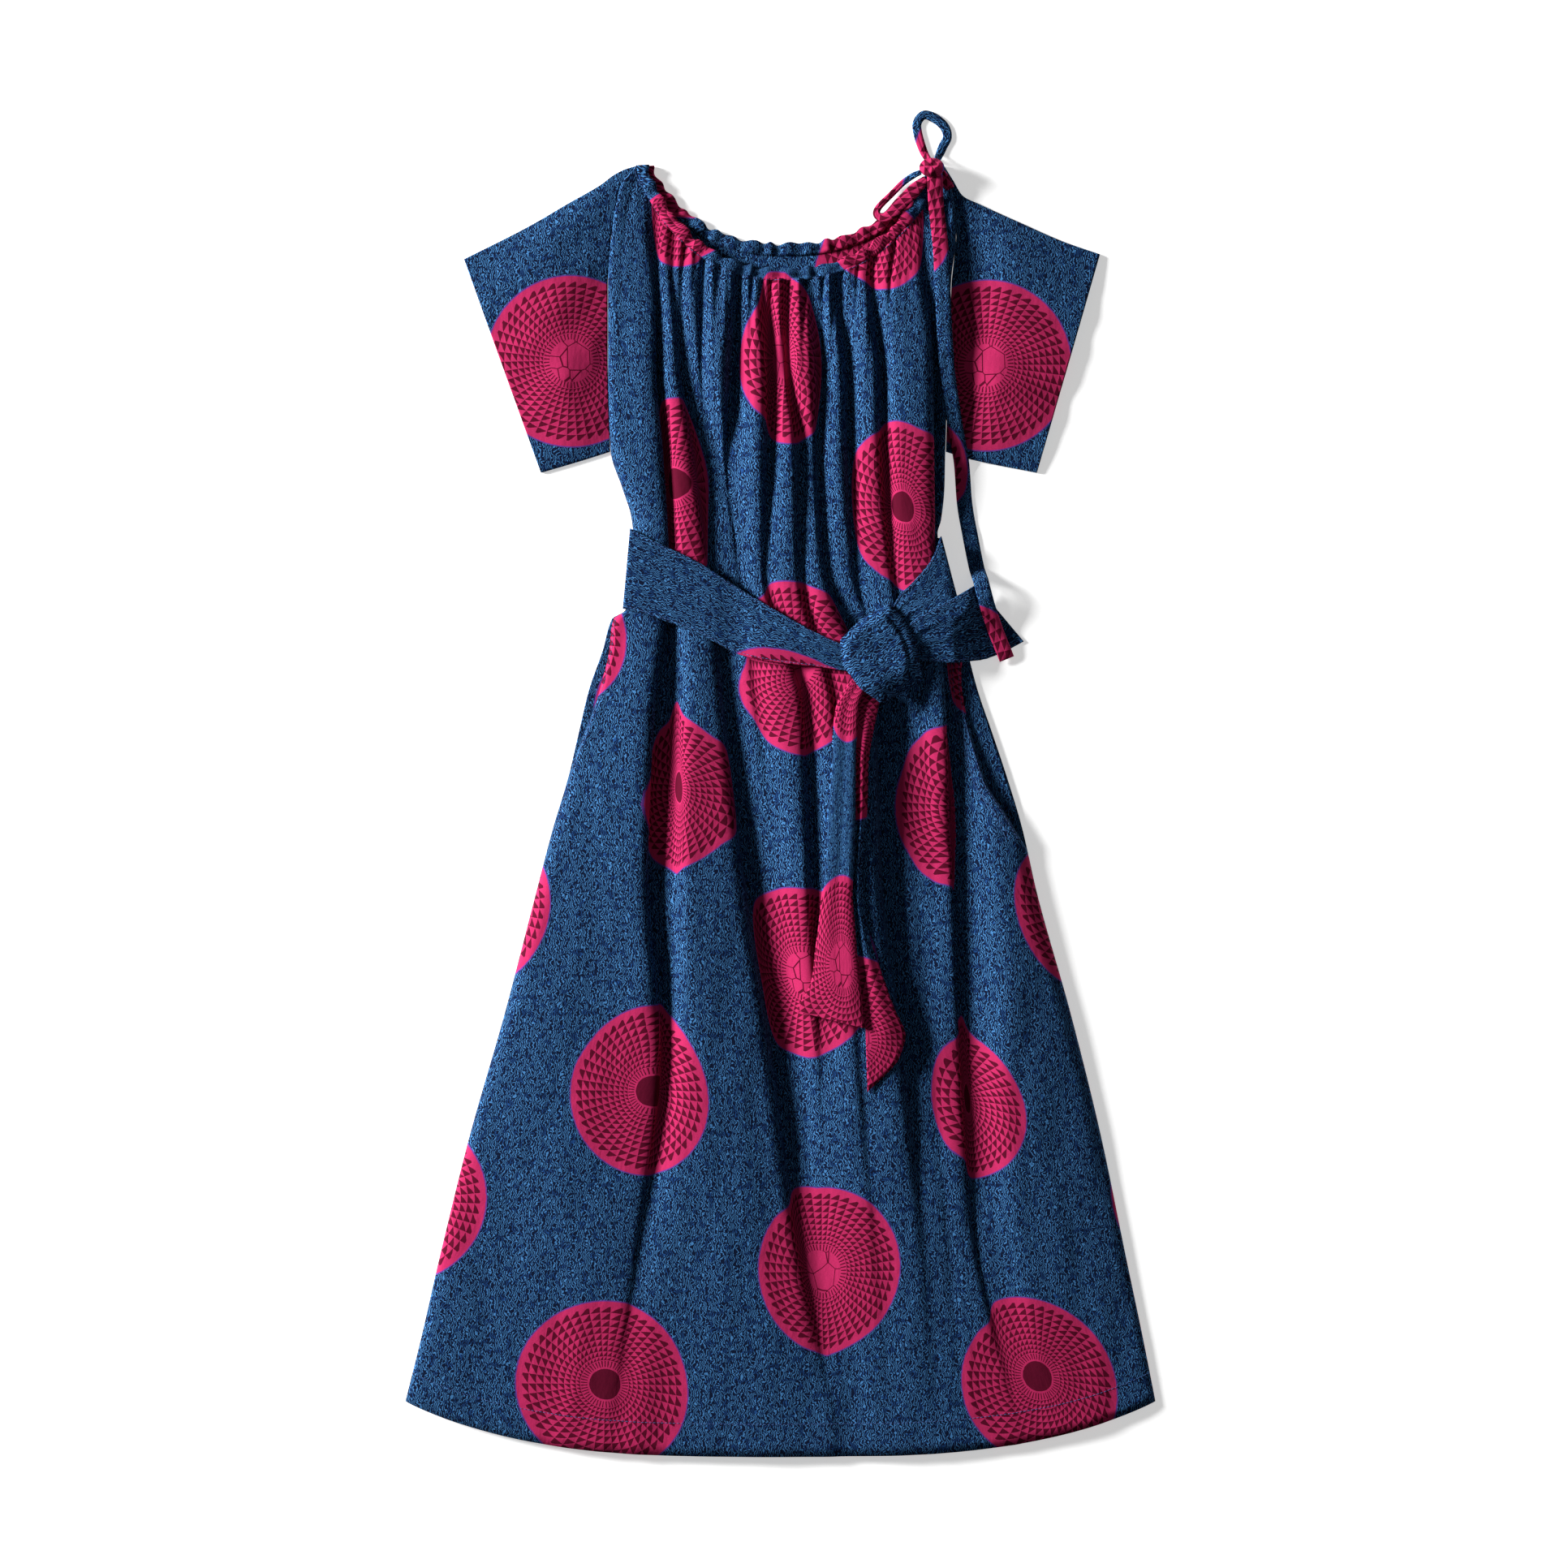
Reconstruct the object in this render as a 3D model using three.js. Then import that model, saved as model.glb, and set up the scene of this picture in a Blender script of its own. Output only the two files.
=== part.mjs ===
// A printed cotton dress lying on its back: gathered neck with a tied drawstring, short sleeves,
// a knotted sash and in-seam pockets. Sizes in millimetres, +X to the viewer's right,
// +Y towards the neck, +Z up from the surface it lies on. Right and left are the wearer's.
import * as THREE from 'three';

// Cloth and seams
const WALL = 1.2;               // thickness of the cloth wall
const SEAM = 0.3;               // gap between pieces that are sewn together
const REST_GAP = 0.35;          // gap under a piece that lies on another

// Levels
const SHOULDER_Y = 548.6;       // top of both shoulders
const PANEL_LOW = 2.9;          // outer height of the front at the bottom of a fold
const SASH_LIFT = 1.5;          // rise of the panels over the sash's back run
const ARMHOLE_LOW = 6.6;        // outer height of the front's edge at an armhole
const EDGE_ROLL = 14;           // width of the roll along the front's side edges
const HEM_CORNER_Y = -549;      // hem at the side seams
const HEM_DROP = 48.6;          // the hem's middle below its corners

// Neck
const NECK_X = 3.2;
const NECK_POWER = 2.4;
const NECK_ROUND = 0.8;
const FRONT_NECK = { halfRight: 119.5, halfLeft: 129.6, drop: 90 };
const BACK_NECK = { halfRight: 115.2, halfLeft: 126, drop: 67.7 };
const CASING_WIDTH = 10;
const CASING_HEIGHT = 4.4;
const FRONT_GATHERS = 20;
const BACK_GATHERS = 18;
const GATHER_HEIGHT = 1.6;      // ridge height of a gather at the neck
const GATHER_REACH = 40;        // how far a gather runs down the front

// Body outline, a row for each height
const OUTLINE = [
  { y: 548.6, right: -127.8, left: 145.1 },
  { y: 529.2, right: -142.2, left: 152.3 },
  { y: 486.0, right: -150.1, left: 155.9 },
  { y: 446.4, right: -153.0, left: 151.6 },
  { y: 370.8, right: -153.0, left: 148.7 },
  { y: 294.5, right: -150.8, left: 146.5 },
  { y: 262.8, right: -140.8, left: 145.8 },
  { y: 234.0, right: -132.1, left: 142.8 },
  { y: 222.0, right: -131.0, left: 139.6 },
  { y: 190.8, right: -134.0, left: 147.6 },
  { y: 162.0, right: -137.0, left: 155.0 },
  { y: 154.0, right: -137.6, left: 156.4 },
  { y: 146.0, right: -149.8, left: 158.2 },
  { y: 118.0, right: -158.0, left: 166.0 },
  { y: 82.8, right: -170.3, left: 175.3 },
  { y: 46.8, right: -178.9, left: 187.6 },
  { y: 3.6, right: -189.0, left: 202.0 },
  { y: -39.6, right: -202.0, left: 214.9 },
  { y: -97.2, right: -217.1, left: 227.9 },
  { y: -205.2, right: -245.2, left: 258.1 },
  { y: -313.2, right: -276.1, left: 284.8 },
  { y: -421.2, right: -302.8, left: 307.1 },
  { y: -493.2, right: -319.3, left: 322.2 },
  { y: -549.0, right: -333.2, left: 333.2 },
];

// How far the front's edge stands in from the side seam along each pocket mouth
const POCKET = [
  { y: 160, right: 0, left: 0 },
  { y: 130, right: 4, left: 0 },
  { y: 100, right: 8.5, left: 10 },
  { y: 80, right: 9.8, left: 14.5 },
  { y: 46.8, right: 5.5, left: 18.8 },
  { y: 3.6, right: 0, left: 20.2 },
  { y: -25.2, right: 0, left: 12 },
  { y: -60, right: 0, left: 0 },
];
const POCKET_TUCK = 6;          // facing width under the front's edge

// Height of the front's rolls above their valleys
const CREST = [
  { y: 548.6, height: 5 }, { y: 450, height: 9 }, { y: 371, height: 14 }, { y: 292, height: 15 },
  { y: 235, height: 12 }, { y: 190, height: 9 }, { y: 140, height: 11 }, { y: 68, height: 14 },
  { y: -83, height: 15 }, { y: -241, height: 14 }, { y: -400, height: 10 }, { y: -530, height: 6.5 },
  { y: -598, height: 5 },
];

// Fold valleys of the front: place and relative depth at each station, steep side on the left
const STATIONS = [450, 371, 292, 191, 68, -83, -241, -400, -572];
const FOLDS = [
  { name: 'right_roll', steep: 6, soft: 12,
    x: [-112, -112, -105.5, -100.4, -112.7, -118.4, -106.2, -123.5, -147.2],
    depth: [0.5, 0.85, 0.92, 0.95, 0.92, 0.85, 0.8, 0.6, 0.35] },
  { name: 'right_bust', steep: 7, soft: 12,
    x: [-93.2, -88.9, -76, -63, -49.3, -31.3, -6.8, 15.5, 53.6],
    depth: [0.5, 0.5, 0.5, 0.45, 0.4, 0.4, 0.5, 0.5, 0.4] },
  { name: 'right_fine', steep: 4.5, soft: 8,
    x: [-71.6, -70.2, -58.7, -40.7, -22.7, -8.3, 9.7, 27.7, 56.5],
    depth: [0.5, 0.35, 0.2, 0.1, 0.12, 0.1, 0.05, 0, 0] },
  { name: 'right_centre', steep: 5, soft: 10,
    x: [-34.9, -43.6, -47.2, -35.6, -19.1, -1.1, 16.9, 34.9, 60.1],
    depth: [0.6, 0.5, 0.35, 0.2, 0.1, 0.15, 0.1, 0.05, 0] },
  { name: 'centre_right', steep: 6, soft: 11,
    x: [-15.5, -9.7, -11.2, -13.3, 22, 28.4, 36.4, 45.7, 63.7],
    depth: [0.7, 0.6, 0.5, 0.35, 0.45, 0.45, 0.3, 0.1, 0.05] },
  { name: 'centre', steep: 4.5, soft: 7,
    x: [4.7, 6.8, 16.9, 18.4, 49.3, 60.1, 70.9, 85.3, 99.7],
    depth: [0.5, 0.35, 0.3, 0.25, 0.2, 0.15, 0.1, 0.1, 0.05] },
  { name: 'centre_left', steep: 5, soft: 9,
    x: [26.3, 34.9, 32.8, 40.7, 85.3, 90.4, 111.2, 128.5, 142.9],
    depth: [0.6, 0.6, 0.45, 0.3, 0.25, 0.3, 0.2, 0.15, 0.1] },
  { name: 'left_bust', steep: 6, soft: 10,
    x: [49.3, 58.7, 60.1, 65.9, 106.9, 121.3, 135.7, 150.1, 164.5],
    depth: [0.5, 0.5, 0.5, 0.4, 0.4, 0.4, 0.35, 0.25, 0.15] },
  { name: 'left_fine', steep: 4.5, soft: 8,
    x: [79.6, 88.2, 91.1, 99.7, 124.9, 135.7, 150.1, 164.5, 178.9],
    depth: [0.4, 0.4, 0.3, 0.25, 0.2, 0.15, 0.1, 0.1, 0.05] },
  { name: 'left_roll', steep: 8, soft: 16,
    x: [128.5, 135, 135.7, 139.3, 148, 161.6, 168.1, 184.7, 216.4],
    depth: [0.5, 0.7, 0.75, 0.75, 0.88, 0.9, 0.85, 0.75, 0.5] },
];

// Row heights of the panels' grids at their side edges
const FRONT_LEVELS = [548.6, 536, 520, 500, 474, 444, 410, 374, 338, 300, 268, 246, 234, 222, 204,
  186, 169, 154, 146, 124, 98, 68, 36, 3.6, -33, -75, -120, -170, -222, -276, -332, -390, -450,
  -506, -549];
const BACK_LEVELS = [548.6, 529.2, 486, 446.4, 370.8, 294.5, 262.8, 241, 230, 222, 206, 188, 162,
  154, 146, 136, 82.8, 3.6, -97.2, -205.2, -313.2, -421.2, -493.2, -549];
const NECK_BLEND_Y = 300;       // above this the rows bend to follow the neck
const HEM_BLEND_Y = -170;       // below this they bend to follow the hem
const PER_GATHER = 3;           // grid columns for each gather
const FRONT_COLUMNS = FRONT_GATHERS * PER_GATHER;
const BACK_COLUMNS = 14;

// Sleeves: shoulder line, underarm line, and heights at the armhole, middle and cuff
const ARMHOLE_ROWS = 6;         // the first rows of OUTLINE
const SLEEVE_HEIGHT = [5.6, 7.4, 6.4];
const SLEEVE_FOLD = 3;          // thickness where the sleeve is folded flat
const SLEEVE_RIGHT = {
  name: 'sleeve_right', side: 'right', out: -1,
  top: [[-137.9, 545.8], [-148, 540.7], [-159.5, 532.1], [-188.3, 515.5], [-224.3, 494.6],
    [-281.2, 465.8]],
  under: [[-173.9, 287.3], [-212.8, 275.8]],
};
const SLEEVE_LEFT = {
  name: 'sleeve_left', side: 'left', out: 1,
  top: [[153.5, 536], [162.4, 522], [176.8, 514.8], [214.9, 497.5], [250.9, 481.7],
    [284, 470.2]],
  under: [[168.1, 288], [227.9, 275.8]],
};

// Sash: sections from the side seam to the knot, upper edge and lower edge
const SASH_BACK = [
  { upper: [-133.4, 225.2], lower: [-139.8, 155] },
  { upper: [142.6, 218], lower: [157.8, 162.2] },
];
const SASH_BAND = [
  { upper: [-132.4, 225.4], lower: [-138.8, 154.8] },
  { upper: [-105.5, 211.7], lower: [-105.5, 144.7] },
  { upper: [-73.1, 195.8], lower: [-73.1, 132.5] },
  { upper: [-33.5, 170.6], lower: [-33.5, 113] },
  { upper: [-1.1, 151.2], lower: [-1.1, 106.6] },
  { upper: [31.3, 133.2], lower: [31.3, 103] },
  { upper: [60.1, 121], lower: [63.7, 99] },
  { upper: [76, 118], lower: [77, 100] },
];
const SASH_WRAP = [
  { upper: [141.7, 218.2], lower: [156.8, 162] },
  { upper: [133.6, 198], lower: [142.9, 151] },
  { upper: [119.2, 180], lower: [128.5, 139] },
  { upper: [103.3, 163.4], lower: [112.7, 131] },
  { upper: [96, 146], lower: [103, 125] },
];
const SASH_END = [
  { upper: [104, 132], lower: [108, 106] },
  { upper: [122, 146.5], lower: [128, 108] },
  { upper: [140, 157], lower: [150, 106.6] },
  { upper: [157.3, 166.3], lower: [178, 109.5] },
  { upper: [166, 171.5], lower: [198, 116.5] },
  { upper: [173.9, 176.4], lower: [216.4, 126] },
];
// The long end is folded lengthwise: crease, edge of the upper leaf, edge of the lower leaf
const SASH_TAIL = [
  { crease: [62, 92], edge: [80, 92], under: [91, 92] },
  { crease: [49.3, 68.4], edge: [69.5, 68.4], under: [87, 68.4] },
  { crease: [46.4, 46.8], edge: [68, 46.8], under: [82.4, 46.8] },
  { crease: [45, 18], edge: [66.6, 18], under: [78, 18] },
  { crease: [41.4, -25.2], edge: [66.6, -25.2], under: [76.7, -25.2] },
  { crease: [39.2, -68.4], edge: [65.2, -68.4], under: [72.6, -68.4] },
  { crease: [36.4, -97.2], edge: [63.7, -97.2], under: [73.4, -97.2] },
  { crease: [33.5, -126], edge: [65.9, -126], under: [79, -135] },
  { crease: [30.6, -148], edge: [68, -152], under: [87, -160] },
  { crease: [27.7, -173], edge: [70.9, -180], under: [100, -197] },
  { crease: [20, -190], edge: [73, -203], under: [110.5, -223] },
  { crease: [16.5, -196], edge: [74, -210], under: [104.8, -243] },
  { crease: [14, -201.6], edge: [75.2, -216.5], under: [77, -273] },
];
const SASH_REACH = 12;          // how far the sash bridges from a ridge
const TAIL_PUFF = 1.5;          // rise of the upper leaf's middle
const KNOT_CENTRE = [90, 113];
const KNOT_OUTLINE = [[53.6, 126], [70.9, 144], [96.1, 158.4], [106.9, 146.2], [118.4, 126],
  [124.9, 91.4], [108.4, 81.4], [88.9, 71.3], [70.9, 84], [56, 104]];
const KNOT_RISE = 9;
const KNOT_CREASE = 3;          // depth of the creases across the knot

// Drawstring: centre lines with the width seen from above
const TIE_THICK = 2.4;
const TIE_WIDTH = 13.7;
const TIE_TAIL = [[136.5, 541], [137.8, 514.8], [141.5, 478.8], [143.6, 442.8], [145.1, 406.8],
  [148, 363.6], [154.4, 320.4], [160.9, 284.4], [163.8, 248.4], [168.8, 219.6], [174.6, 190.8],
  [181.8, 162], [190.4, 136.8], [201.2, 110.2]];
const TIE_SHORT = [[141, 543.5, 6], [146, 535.5, 8.5], [150.6, 527, 8]];
const TIE_UPPER = [[131.3, 552.5, 6], [126, 565, 7.5], [122.3, 577, 8], [121.6, 587, 8],
  [127.5, 594, 8], [136.5, 591.5, 8.5], [145.5, 584, 8.5], [148.4, 574.5, 8], [144, 565, 8],
  [138.9, 552.5, 6]];
const TIE_LOWER = [[124.5, 541.5, 4.5], [118, 539, 5.5], [108.8, 533.2, 5.6], [98, 522.4, 5.6],
  [87.4, 511.4, 6], [85.6, 505, 7], [90.5, 502, 8], [97.5, 504.5, 10], [107, 514, 12],
  [117.6, 524.4, 12], [129, 535.3, 7]];
const TIE_KNOT = { x: 134, y: 545, halfX: 11, halfY: 9, rise: 6.5 };

const clamp = (v, low, high) => Math.min(Math.max(v, low), high);
const mix = (a, b, t) => a + (b - a) * t;
const mixPoint = (a, b, t) => [mix(a[0], b[0], t), mix(a[1], b[1], t)];
const ease = (t) => { const c = clamp(t, 0, 1); return c * c * (3 - 2 * c); };

// A smooth curve through (x, y) samples that never swings past them
function smoothCurve(xs, ys) {
  const order = xs.map((_, i) => i).sort((a, b) => xs[a] - xs[b]);
  const x = order.map((i) => xs[i]);
  const y = order.map((i) => ys[i]);
  const slope = x.slice(1).map((v, i) => (y[i + 1] - y[i]) / (v - x[i]));
  const tangent = x.map((_, i) => {
    if (i === 0) return slope[0];
    if (i === x.length - 1) return slope[i - 1];
    const a = slope[i - 1];
    const b = slope[i];
    return a * b <= 0 ? 0 : (2 * a * b) / (a + b);
  });
  return (at) => {
    if (at <= x[0]) return y[0];
    if (at >= x[x.length - 1]) return y[y.length - 1];
    let i = 0;
    while (at > x[i + 1]) i += 1;
    const h = x[i + 1] - x[i];
    const t = (at - x[i]) / h;
    const u = 1 - t;
    return y[i] * (1 + 2 * t) * u * u + tangent[i] * h * t * u * u
      + y[i + 1] * t * t * (3 - 2 * t) - tangent[i + 1] * h * t * t * u;
  };
}

const column = (rows, key) => smoothCurve(rows.map((r) => r.y), rows.map((r) => r[key]));
const seamRight = column(OUTLINE, 'right');
const seamLeft = column(OUTLINE, 'left');
const pocketRight = column(POCKET, 'right');
const pocketLeft = column(POCKET, 'left');
const crestAt = column(CREST, 'height');
const folds = FOLDS.map((f) => ({
  ...f, at: smoothCurve(STATIONS, f.x), deep: smoothCurve(STATIONS, f.depth),
}));
const frontRight = (y) => seamRight(y) + pocketRight(y);
const frontLeft = (y) => seamLeft(y) - pocketLeft(y);

// The hem hangs in a shallow curve between the side seams
function hemY(x) {
  const q = clamp(x / seamLeft(HEM_CORNER_Y), -1, 1);
  return HEM_CORNER_Y - HEM_DROP * (1 - Math.abs(q) ** 3.2);
}

// Neck curve by angle from the right shoulder to the left one, moved outwards by a distance
function neckPoint(neck, turn, out = 0) {
  const place = (a) => {
    const q = Math.sin(a);
    const half = q < 0 ? neck.halfRight : neck.halfLeft;
    const drop = neck.drop * Math.max(1 - Math.abs(q) ** NECK_POWER, 0) ** NECK_ROUND;
    return [NECK_X + q * half, SHOULDER_Y - drop];
  };
  const a = mix(-Math.PI / 2, Math.PI / 2, turn);
  const p = place(a);
  if (out === 0) return p;
  const step = 0.004;
  const before = place(Math.max(a - step, -Math.PI / 2));
  const after = place(Math.min(a + step, Math.PI / 2));
  const tx = after[0] - before[0];
  const ty = after[1] - before[1];
  const length = Math.hypot(tx, ty) || 1;
  return [p[0] + (ty / length) * out, p[1] - (tx / length) * out];
}

// Height of a panel's upper edge, where it meets the casing
function neckEdge(neck, gap) {
  const points = [];
  for (let i = 0; i <= 240; i += 1) points.push(neckPoint(neck, i / 240, CASING_WIDTH + gap));
  return (x) => {
    if (x <= points[0][0] || x >= points[240][0]) return SHOULDER_Y;
    let i = 0;
    while (i < 239 && points[i + 1][0] < x) i += 1;
    const span = points[i + 1][0] - points[i][0] || 1;
    return Math.min(mix(points[i][1], points[i + 1][1], (x - points[i][0]) / span), SHOULDER_Y);
  };
}
const frontTop = neckEdge(FRONT_NECK, 2 * SEAM);
const backTop = neckEdge(BACK_NECK, 5 * SEAM);

// Plan position of a panel's grid point: s from edge to edge, level down the side seam
function panelPoint(s, level, edgeRight, edgeLeft, top) {
  const xAt = (y) => mix(edgeRight(y), edgeLeft(y), s);
  let y = level;
  if (level > NECK_BLEND_Y) {
    let low = NECK_BLEND_Y;
    let high = SHOULDER_Y;
    for (let i = 0; i < 40; i += 1) {
      const mid = (low + high) / 2;
      if (mid > top(xAt(mid))) high = mid; else low = mid;
    }
    y = mix(NECK_BLEND_Y, low, (level - NECK_BLEND_Y) / (SHOULDER_Y - NECK_BLEND_Y));
  } else if (level < HEM_BLEND_Y) {
    const t = (HEM_BLEND_Y - level) / (HEM_BLEND_Y - HEM_CORNER_Y);
    let end = HEM_CORNER_Y;
    for (let i = 0; i < 6; i += 1) end = hemY(xAt(Math.max(end, HEM_CORNER_Y)));
    y = mix(HEM_BLEND_Y, end, t);
  }
  return [xAt(y), y];
}

const band = (y, low, high, soft) => ease((y - low + soft) / soft) * ease((high + soft - y) / soft);
const sashLift = (y) => SASH_LIFT * band(y, 152, 228, 11);

// Outer height of the front at a place: rolls between valleys, edges rolled down to the seam
function frontHeight(x, y, s) {
  const fromRight = x - frontRight(y);
  const fromLeft = frontLeft(y) - x;
  const inset = Math.max(Math.min(fromRight, fromLeft), 0);
  const pocket = fromRight < fromLeft ? pocketRight(y) : pocketLeft(y);
  const armhole = ease((y - 285) / 20);
  const edgeLow = Math.max(PANEL_LOW + sashLift(y) + SASH_LIFT * ease(pocket / 0.8),
    ARMHOLE_LOW * armhole);
  const low = mix(edgeLow, PANEL_LOW + sashLift(y), ease(inset / EDGE_ROLL));
  const roll = Math.sqrt(1 - (1 - Math.min(inset / EDGE_ROLL, 1)) ** 2);
  const below = Math.max(frontTop(x) - y, 0);
  const settle = mix(0.55, 1, ease(below / 70));
  const valleys = folds.reduce((product, fold) => {
    const from = x - fold.at(y);
    const width = from < 0 ? fold.steep : fold.soft;
    return product * (1 - fold.deep(y) * Math.exp(-((from / width) ** 2)));
  }, 1);
  const uneven = 1 + 0.12 * Math.sin(x / 23 + y / 140);
  const gather = GATHER_HEIGHT * roll * Math.exp(-below / GATHER_REACH)
    * Math.cos(2 * Math.PI * FRONT_GATHERS * s);
  return low + Math.max(crestAt(y) * settle * uneven * roll * valleys + gather, 0);
}

// A closed cloth wall between two grids of points
function clothWall(outer, inner, ring = false) {
  const rows = outer.length;
  const cols = outer[0].length;
  const position = [];
  const index = [];
  [outer, inner].forEach((grid) => grid.forEach((row) => row.forEach((p) => position.push(...p))));
  const at = (layer, r, c) => (layer * rows + r) * cols + (c % cols);
  const quad = (a, b, c, d) => index.push(a, b, c, a, c, d);
  const spans = ring ? cols : cols - 1;
  for (let r = 0; r < rows - 1; r += 1) {
    for (let c = 0; c < spans; c += 1) {
      quad(at(0, r, c), at(0, r + 1, c), at(0, r + 1, c + 1), at(0, r, c + 1));
      quad(at(1, r, c), at(1, r, c + 1), at(1, r + 1, c + 1), at(1, r + 1, c));
    }
    if (!ring) {
      quad(at(0, r, 0), at(1, r, 0), at(1, r + 1, 0), at(0, r + 1, 0));
      quad(at(0, r, spans), at(0, r + 1, spans), at(1, r + 1, spans), at(1, r, spans));
    }
  }
  for (let c = 0; c < spans; c += 1) {
    quad(at(0, 0, c), at(0, 0, c + 1), at(1, 0, c + 1), at(1, 0, c));
    quad(at(0, rows - 1, c), at(1, rows - 1, c), at(1, rows - 1, c + 1), at(0, rows - 1, c + 1));
  }
  let volume = 0;
  const corner = (i) => new THREE.Vector3(...position.slice(index[i] * 3, index[i] * 3 + 3));
  for (let i = 0; i < index.length; i += 3) {
    volume += corner(i).dot(corner(i + 1).cross(corner(i + 2)));
  }
  if (volume < 0) {
    for (let i = 0; i < index.length; i += 3) {
      [index[i + 1], index[i + 2]] = [index[i + 2], index[i + 1]];
    }
  }
  const geometry = new THREE.BufferGeometry();
  geometry.setAttribute('position', new THREE.Float32BufferAttribute(position, 3));
  geometry.setIndex(index);
  geometry.computeVertexNormals();
  return geometry;
}

// A grid moved along its own normals, upwards for a positive distance
function offsetGrid(grid, distance) {
  const rows = grid.length;
  const cols = grid[0].length;
  return grid.map((row, r) => row.map((p, c) => {
    const [n, s] = [grid[Math.max(r - 1, 0)][c], grid[Math.min(r + 1, rows - 1)][c]];
    const [w, e] = [row[Math.max(c - 1, 0)], row[Math.min(c + 1, cols - 1)]];
    const along = new THREE.Vector3(e[0] - w[0], e[1] - w[1], e[2] - w[2]);
    const down = new THREE.Vector3(s[0] - n[0], s[1] - n[1], s[2] - n[2]);
    const normal = along.cross(down).normalize();
    if (normal.z < 0) normal.negate();
    return [p[0] + normal.x * distance, p[1] + normal.y * distance, p[2] + normal.z * distance];
  }));
}

// Height of everything laid so far, so that the next piece can lie on it
class Relief {
  constructor() {
    this.cell = 1.5;
    this.x0 = -345;
    this.y0 = -610;
    this.nx = 460;
    this.ny = 820;
    this.height = new Float32Array(this.nx * this.ny);
  }

  lay(grid) {
    for (let r = 0; r < grid.length - 1; r += 1) {
      for (let c = 0; c < grid[r].length - 1; c += 1) {
        const [a, b] = [grid[r][c], grid[r][c + 1]];
        const [d, e] = [grid[r + 1][c], grid[r + 1][c + 1]];
        this.facet(a, b, e);
        this.facet(a, e, d);
      }
    }
  }

  facet(a, b, c) {
    const area = (b[0] - a[0]) * (c[1] - a[1]) - (c[0] - a[0]) * (b[1] - a[1]);
    if (Math.abs(area) < 1e-6) return;
    const from = (v, o) => Math.floor((v - o) / this.cell);
    const i0 = from(Math.min(a[0], b[0], c[0]), this.x0);
    const i1 = from(Math.max(a[0], b[0], c[0]), this.x0) + 1;
    const j0 = from(Math.min(a[1], b[1], c[1]), this.y0);
    const j1 = from(Math.max(a[1], b[1], c[1]), this.y0) + 1;
    for (let j = j0; j <= j1; j += 1) {
      for (let i = i0; i <= i1; i += 1) {
        const x = this.x0 + i * this.cell;
        const y = this.y0 + j * this.cell;
        const u = ((x - a[0]) * (c[1] - a[1]) - (c[0] - a[0]) * (y - a[1])) / area;
        const v = ((b[0] - a[0]) * (y - a[1]) - (x - a[0]) * (b[1] - a[1])) / area;
        if (u >= 0 && v >= 0 && u + v <= 1) {
          const k = j * this.nx + i;
          const z = a[2] + (b[2] - a[2]) * u + (c[2] - a[2]) * v;
          if (z > this.height[k]) this.height[k] = z;
        }
      }
    }
  }

  highest(x, y, reach) {
    const n = Math.ceil(reach / this.cell);
    const i = Math.round((x - this.x0) / this.cell);
    const j = Math.round((y - this.y0) / this.cell);
    let top = 0;
    for (let dj = -n; dj <= n; dj += 1) {
      for (let di = -n; di <= n; di += 1) {
        if ((di * di + dj * dj) * this.cell * this.cell <= reach * reach) {
          top = Math.max(top, this.height[(j + dj) * this.nx + i + di] || 0);
        }
      }
    }
    return top;
  }

  // Resting height of a limp piece at a place: the highest ground near it, softened
  rest(x, y, reach = 9) {
    let sum = 0;
    const spread = reach * 0.45;
    for (let k = 0; k < 8; k += 1) {
      const a = (k * Math.PI) / 4;
      sum += this.highest(x + spread * Math.cos(a), y + spread * Math.sin(a), reach);
    }
    const ground = (sum + this.highest(x, y, reach)) / 9;
    return ground + Math.min(REST_GAP, ground);
  }
}
const relief = new Relief();

const dress = new THREE.Group();
dress.name = 'printed_dress';
const CLOTH = { blue: 0x1f4e86, pink: 0xb52a66 };
function add(name, geometry, color) {
  const material = new THREE.MeshStandardMaterial({ color, roughness: 0.85, metalness: 0 });
  const mesh = new THREE.Mesh(geometry, material);
  mesh.name = name;
  dress.add(mesh);
}

// Panels
function backPanel() {
  const upper = BACK_LEVELS.map((level) => {
    const row = [];
    for (let c = 0; c <= BACK_COLUMNS; c += 1) {
      const [x, y] = panelPoint(c / BACK_COLUMNS, level, seamRight, seamLeft, backTop);
      row.push([x, y, WALL + sashLift(y)]);
    }
    return row;
  });
  const lower = upper.map((row) => row.map(([x, y, z]) => [x, y, z - WALL]));
  relief.lay(upper);
  add('back_panel', clothWall(upper, lower), CLOTH.blue);
}

function frontPanel() {
  const upper = FRONT_LEVELS.map((level) => {
    const row = [];
    for (let c = 0; c <= FRONT_COLUMNS; c += 1) {
      const s = c / FRONT_COLUMNS;
      const [x, y] = panelPoint(s, level, frontRight, frontLeft, frontTop);
      row.push([x, y, frontHeight(x, y, s)]);
    }
    return row;
  });
  relief.lay(upper);
  add('front_panel', clothWall(upper, offsetGrid(upper, -WALL)), CLOTH.blue);
}

// The strip of pocket cloth between the front's edge and the side seam
function pocketFacing(name, seam, inset, out, high, low) {
  const upper = [];
  for (let i = 0; i <= 12; i += 1) {
    const y = mix(high, low, i / 12);
    const z = WALL + sashLift(y) + SEAM + WALL;
    const edge = seam(y);
    const tuck = edge - out * (inset(y) + POCKET_TUCK);
    upper.push([[tuck, y, z], [mix(tuck, edge, 0.5), y, z], [edge - out * 0.4, y, z]]);
  }
  const lower = upper.map((row) => row.map(([x, y, z]) => [x, y, z - WALL]));
  add(name, clothWall(upper, lower), CLOTH.blue);
}

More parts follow.
